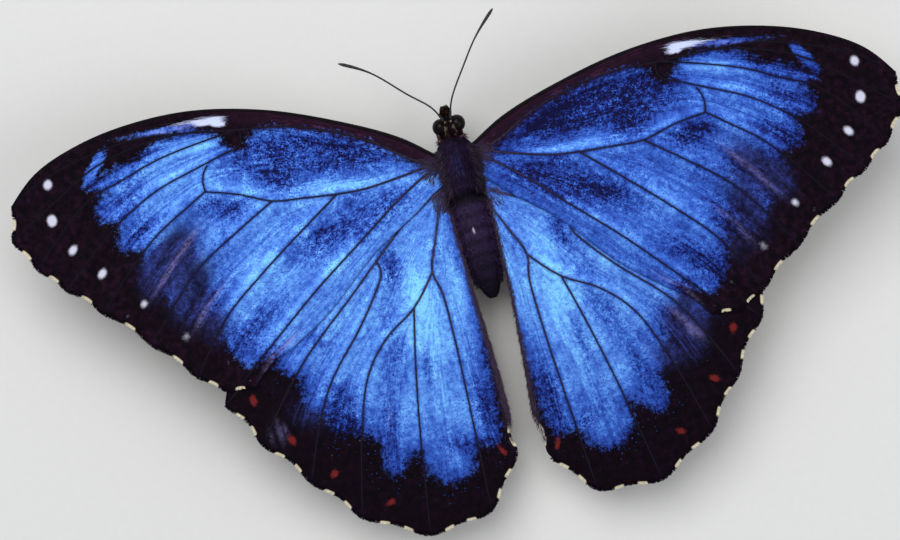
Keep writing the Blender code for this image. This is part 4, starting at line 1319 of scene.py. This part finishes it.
def palp(side, finish, hair):
    """One palp: its lobed core, and hair that stands out more on the inner side and towards the root."""
    which = SIDE_NAMES[side]
    path = curve([(HEAD_CENTRE[0] + side * x, y, z) for x, y, z in PALP_PATH], 0.07)
    share = np.linspace(0, 1, len(path))
    radii = 0.30 * (1 - 0.25 * np.abs(np.cos(pi * share * 2.5)) ** 8)
    radii *= np.sqrt(held((1.04 - share) * 6)) * (1 - 0.35 * share)
    new_piece("palp_core_" + which, tube(path, radii, 14), finish, ("palp_" + which,))
    rng = np.random.default_rng(PALP_SEED + side)
    pick = rng.integers(0, len(path) - 3, PALP_HAIRS)
    turn = rng.uniform(0, tau, PALP_HAIRS)
    share = share[pick]
    along = unit(path[pick + 2] - path[pick])
    out = outwards(along, (1.0, 0.0, 0.0), turn)
    roots = path[pick] + out * radii[pick][:, None] * 0.95
    inner = held(-side * out[:, 0])
    size = rng.uniform(0.4, 0.7, PALP_HAIRS) * (1.2 - 0.75 * share) * (1 + 0.3 * inner)
    ways = along + (0.30 + 0.75 * inner)[:, None] * out - np.outer(0.7 * side * share ** 2, (1.0, 0.0, 0.0))
    shade = (rng.uniform(0, 1, PALP_HAIRS) < 0.12) * rng.uniform(0.4, 0.9, PALP_HAIRS)
    hair_piece("palp_hair_" + which, tufts(roots, ways, out, size, 0.085, 0.15), hair,
               columns(turn / tau * 0.95, pick / len(path) * 0.95), shade)


def tongue(finish):
    """The tongue, coiled under the head."""
    inner, outer = PROBOSCIS_COIL
    t = np.linspace(0, 1, 260)
    turn = tau * PROBOSCIS_TURNS * t + pi / 2
    reach = outer + (inner - outer) * t
    coil = columns(0.05 * t, reach * np.cos(turn), reach * np.sin(turn)) + HEAD_CENTRE + PROBOSCIS_OFFSET
    radii = (0.2 - 0.08 * t) * (0.95 - 0.05 * np.cos(tau * PROBOSCIS_RINGS * t))
    new_piece("tongue", tube(coil, radii, 12), finish, ("proboscis",))


def feeler(side, limbs, finish):
    """A ringed feeler with its club."""
    path = curve(ANTENNA_PATHS[side], 0.075)
    share = np.linspace(0, 1, len(path))
    shaft, club = limbs.feeler / MM, limbs.club / MM
    radii = shaft + (club - shaft) * held((share - 0.70) / 0.2) ** 1.4
    radii *= np.sqrt(np.clip((1.008 - share) / 0.05, 0.02, 1))
    radii *= 1 - 0.16 * bell((share * ANTENNA_RINGS) % 1, 0.5, 0.12)
    radii *= 1 + 0.75 * bell(share, 0.015, 0.018) + 0.35 * bell(share, 0.05, 0.012)
    which = SIDE_NAMES[side]
    new_piece("feeler_" + which, tube(path, radii, 12), finish, ("antenna_" + which,))


def leg_plates(name, joints, pair, finish):
    """A leg's plates: each swells past its joint, and the foot is in five pieces with two claws."""
    parts = []
    radii_of = FORE_LEG_RADII if pair == "fore" else WALKING_LEG_RADII
    for k, (first, last) in enumerate(radii_of):
        start, end = joints[k], joints[k + 1]
        way = unit(end - start)
        start = start - way * (0.55 * first if k else 1.3)
        end = end + way * 0.55 * last
        long = np.linalg.norm(end - start)
        t = 0.5 - 0.5 * np.cos(pi * np.linspace(0, 1, 26))
        radii = (first + (last - first) * t) * (1 + 0.16 * np.sin(pi * held(t * 1.2)))
        near_end = np.minimum(1, np.minimum(t / first, (1 - t) / last) * long)
        radii *= np.sqrt(np.clip(1 - (1 - near_end) ** 2, 0.01, 1))
        parts.append(tube(start + np.outer(t * long, way), radii, 14))
    if pair != "fore":
        path = curve(joints[3:], 0.06)
        path[:, 2] = np.maximum(path[:, 2], SOLE)
        share = np.linspace(0, 1, len(path))
        radii = 0.19 * (1 - 0.28 * bell((share * FOOT_PIECES) % 1, 0.02, 0.07)) * (1 - 0.2 * share)
        parts.append(tube(path, np.minimum(radii, path[:, 2] - 0.01), 10))
        ahead = unit(path[-1] - path[-6])
        aside = np.cross(ahead, UP)
        t = np.linspace(0, 1, 9)
        for way in (-1, 1):
            claw = np.outer(0.28 * t - 0.12, ahead) + np.outer(way * (0.05 + 0.12 * t), aside)
            claw += np.outer(0.05 * np.sin(pi * t) - 0.12 * t, UP)
            parts.append(tube(path[-1] + claw, 0.055 * (1 - 0.8 * t), 6))
    new_piece(name + "_plates", joined(parts), finish, (name,))


def leg_bristles(name, joints, finish, count, long, thick, seed):
    """Short hair on the upper leg, and bristles down the shin."""
    rng = np.random.default_rng(seed)
    draws = [(rng.integers(0, 3), rng.uniform(0, tau), rng.uniform(0.02, 0.98), rng.uniform(0.5, 1.0))
             for _ in range(count)]
    bone, turn, share, size = (np.array(values) for values in zip(*draws))
    start, end = joints[bone], joints[bone + 1]
    along = unit(end - start)
    out = outwards(along, UP, turn)
    roots = start + (end - start) * share[:, None] + out * np.array(thick)[bone][:, None] * 0.9
    ways = along + out * np.where(bone == 2, 0.35, 0.12)[:, None]
    points, faces = tufts(roots, ways, out, size * long, 0.055, 0.2)
    points[:, 2] = np.maximum(points[:, 2], 0.03)
    shade = rng.uniform(0, 1, count)
    root_uv = rng.uniform(0.02, 0.97, (count, 2))
    hair_piece(name + "_bristles", (points, faces), finish, root_uv, shade)


# Panel and operators.

class MorphoOperator(bpy.types.Operator):
    bl_options = {"REGISTER", "UNDO"}


class MORPHO_OT_wings(MorphoOperator):
    """Build the four wings with their veins and fringes"""

    bl_idname = "morpho.wings"
    bl_label = "Wings"

    def execute(self, context):
        settings = context.scene.morpho_wings
        top, under, vein = wing_top_finish(settings), wing_under_finish(settings), vein_finish()
        fringe = hair_finish("wing_fringe", settings.border, settings.cream, 0.7)
        for number, wing in enumerate(wing_list(settings)):
            wing_sheet(wing, settings, top, under)
            wing_veins(wing, settings, vein)
            wing_fringe(wing, fringe, FRINGE_SEED + number)
        return {"FINISHED"}


class MORPHO_OT_body(MorphoOperator):
    """Build the skin of the head, thorax and abdomen"""

    bl_idname = "morpho.body"
    bl_label = "Body"

    def execute(self, context):
        body_skin(context.scene.morpho_body, skin_finish(context.scene.morpho_body))
        return {"FINISHED"}


class MORPHO_OT_coat(MorphoOperator):
    """Lay the hair on the head, thorax, abdomen and wing bases"""

    bl_idname = "morpho.coat"
    bl_label = "Coat"

    def execute(self, context):
        body = context.scene.morpho_body
        hair = hair_finish("body_hair", body.brown, body.mauve)
        wing_hairs = hair_finish("wing_hair", linear(30, 22, 32), linear(78, 64, 84))
        longer = body.hair / MM / HAIR
        for name, (span, count, seed, lengths, width, lift, splay, extras) in COATS.items():
            lengths = [each * longer for each in lengths]
            coat(name, body, hair, span, count or body.tufts, seed, lengths, width, lift, splay, **extras)
        for number, wing in enumerate(wing_list(context.scene.morpho_wings)):
            wing_hair(wing, wing_hairs, WING_HAIR_SEED + number)
        return {"FINISHED"}


class MORPHO_OT_head(MorphoOperator):
    """Build the eyes, the palps and the coiled tongue"""

    bl_idname = "morpho.head"
    bl_label = "Eyes and mouthparts"

    def execute(self, context):
        eye = eye_finish(context.scene.morpho_body)
        core = plate_finish("palp", linear(52, 34, 32), 0.7, variety=0.7, Specular_IOR_Level=0.2)
        hair = hair_finish("palp_hair", linear(34, 20, 22), linear(140, 112, 92))
        for side in (LEFT, RIGHT):
            which = SIDE_NAMES[side]
            shape = ball(eye_centre(side), np.array(EYE_HALF) * 0.98, 40, 28)
            new_piece("eye_ball_" + which, shape, eye, ("eye_" + which,))
            palp(side, core, hair)
        tongue(plate_finish("tongue", linear(84, 48, 28), 0.35, variety=0.4))
        return {"FINISHED"}


class MORPHO_OT_feelers(MorphoOperator):
    """Build the ringed feelers with their clubs"""

    bl_idname = "morpho.feelers"
    bl_label = "Feelers"

    def execute(self, context):
        horn = plate_finish("feeler", context.scene.morpho_limbs.horn, 0.45, 2600.0, IOR=1.5)
        for side in (LEFT, RIGHT):
            feeler(side, context.scene.morpho_limbs, horn)
        return {"FINISHED"}


class MORPHO_OT_legs(MorphoOperator):
    """Build the four walking legs and the two brush-like forelegs"""

    bl_idname = "morpho.legs"
    bl_label = "Legs"

    def execute(self, context):
        plates = plate_finish("leg", context.scene.morpho_limbs.leg, 0.5, 1800.0, 0.6, IOR=1.5)
        brush = hair_finish("leg_hair", linear(56, 40, 34), linear(140, 116, 96))
        for side in (LEFT, RIGHT):
            for pair, path in LEGS.items():
                name = f"leg_{pair}_{SIDE_NAMES[side]}"
                joints = np.array([(THORAX_X + side * x, y, z) for x, y, z in path])
                leg_plates(name, joints, pair, plates)
                count, long, thick, seed = BRISTLES[pair]
                seed += BRISTLE_SEED_STEP * (side == RIGHT)
                leg_bristles(name, joints, brush, count, long, thick, seed)
        return {"FINISHED"}


class MORPHO_OT_stage(MorphoOperator):
    """Set the floor, the lights and the camera"""

    bl_idname = "morpho.stage"
    bl_label = "Stage"

    def execute(self, context):
        scene = context.scene
        settings = scene.morpho_stage
        floor = bpy.data.meshes.new("floor")
        corners = [(x * FLOOR_REACH, y * FLOOR_REACH, 0) for x, y in ((-1, -1), (1, -1), (1, 1), (-1, 1))]
        floor.from_pydata(corners, [], [(0, 1, 2, 3)])
        floor.materials.append(floor_finish(settings))
        ground = put("floor", floor)
        for name, (place, share) in LAMPS.items():
            light = bpy.data.lights.new(name, "AREA")
            light.size = LAMP_SIZE
            light.energy = settings.key * share
            put(name, light, place).rotation_euler = (-Vector(place)).to_track_quat("-Z", "Y").to_euler()
        scene.world = bpy.data.worlds.new("studio")
        scene.world.use_nodes = True
        sky = scene.world.node_tree.nodes["Background"].inputs
        sky["Color"].default_value = SKY
        sky["Strength"].default_value = SKY_STRENGTH
        scene.view_settings.view_transform = "Standard"
        camera = bpy.data.cameras.new("camera")
        camera.sensor_width = SENSOR
        camera.lens = SENSOR * (settings.distance / MM) / CAMERA_WIDTH
        camera.clip_start, camera.clip_end = 0.01, 10
        scene.camera = put("camera", camera, Vector(CAMERA_AIM) * MM + Vector((0, 0, settings.distance)))
        scene.camera.rotation_euler = (0, 0, radians(CAMERA_TURN))
        return {"FINISHED"}


PIECES = (MORPHO_OT_wings, MORPHO_OT_body, MORPHO_OT_coat, MORPHO_OT_head, MORPHO_OT_feelers, MORPHO_OT_legs,
          MORPHO_OT_stage)


class MORPHO_PT_panel(bpy.types.Panel):
    """Lists the butterfly's sizes, colours and pieces"""

    bl_idname = "MORPHO_PT_panel"
    bl_label = "Blue Morpho"
    bl_space_type = "VIEW_3D"
    bl_region_type = "UI"
    bl_category = "Morpho"

    def draw(self, context):
        for group, kind in GROUPS.items():
            box = self.layout.box()
            for name in kind.__annotations__:
                box.prop(getattr(context.scene, group), name)
        for piece in PIECES:
            self.layout.operator(piece.bl_idname)


CLASSES = (*GROUPS.values(), *PIECES, MORPHO_PT_panel)


def register():
    for each in CLASSES:
        bpy.utils.register_class(each)
    for name, kind in GROUPS.items():
        setattr(bpy.types.Scene, name, PointerProperty(type=kind))


def unregister():
    for name in GROUPS:
        delattr(bpy.types.Scene, name)
    for each in reversed(CLASSES):
        bpy.utils.unregister_class(each)


def main():
    register()
    bpy.ops.morpho.wings()
    bpy.ops.morpho.body()
    bpy.ops.morpho.coat()
    bpy.ops.morpho.head()
    bpy.ops.morpho.feelers()
    bpy.ops.morpho.legs()
    bpy.ops.morpho.stage()


if __name__ == "__main__":
    main()
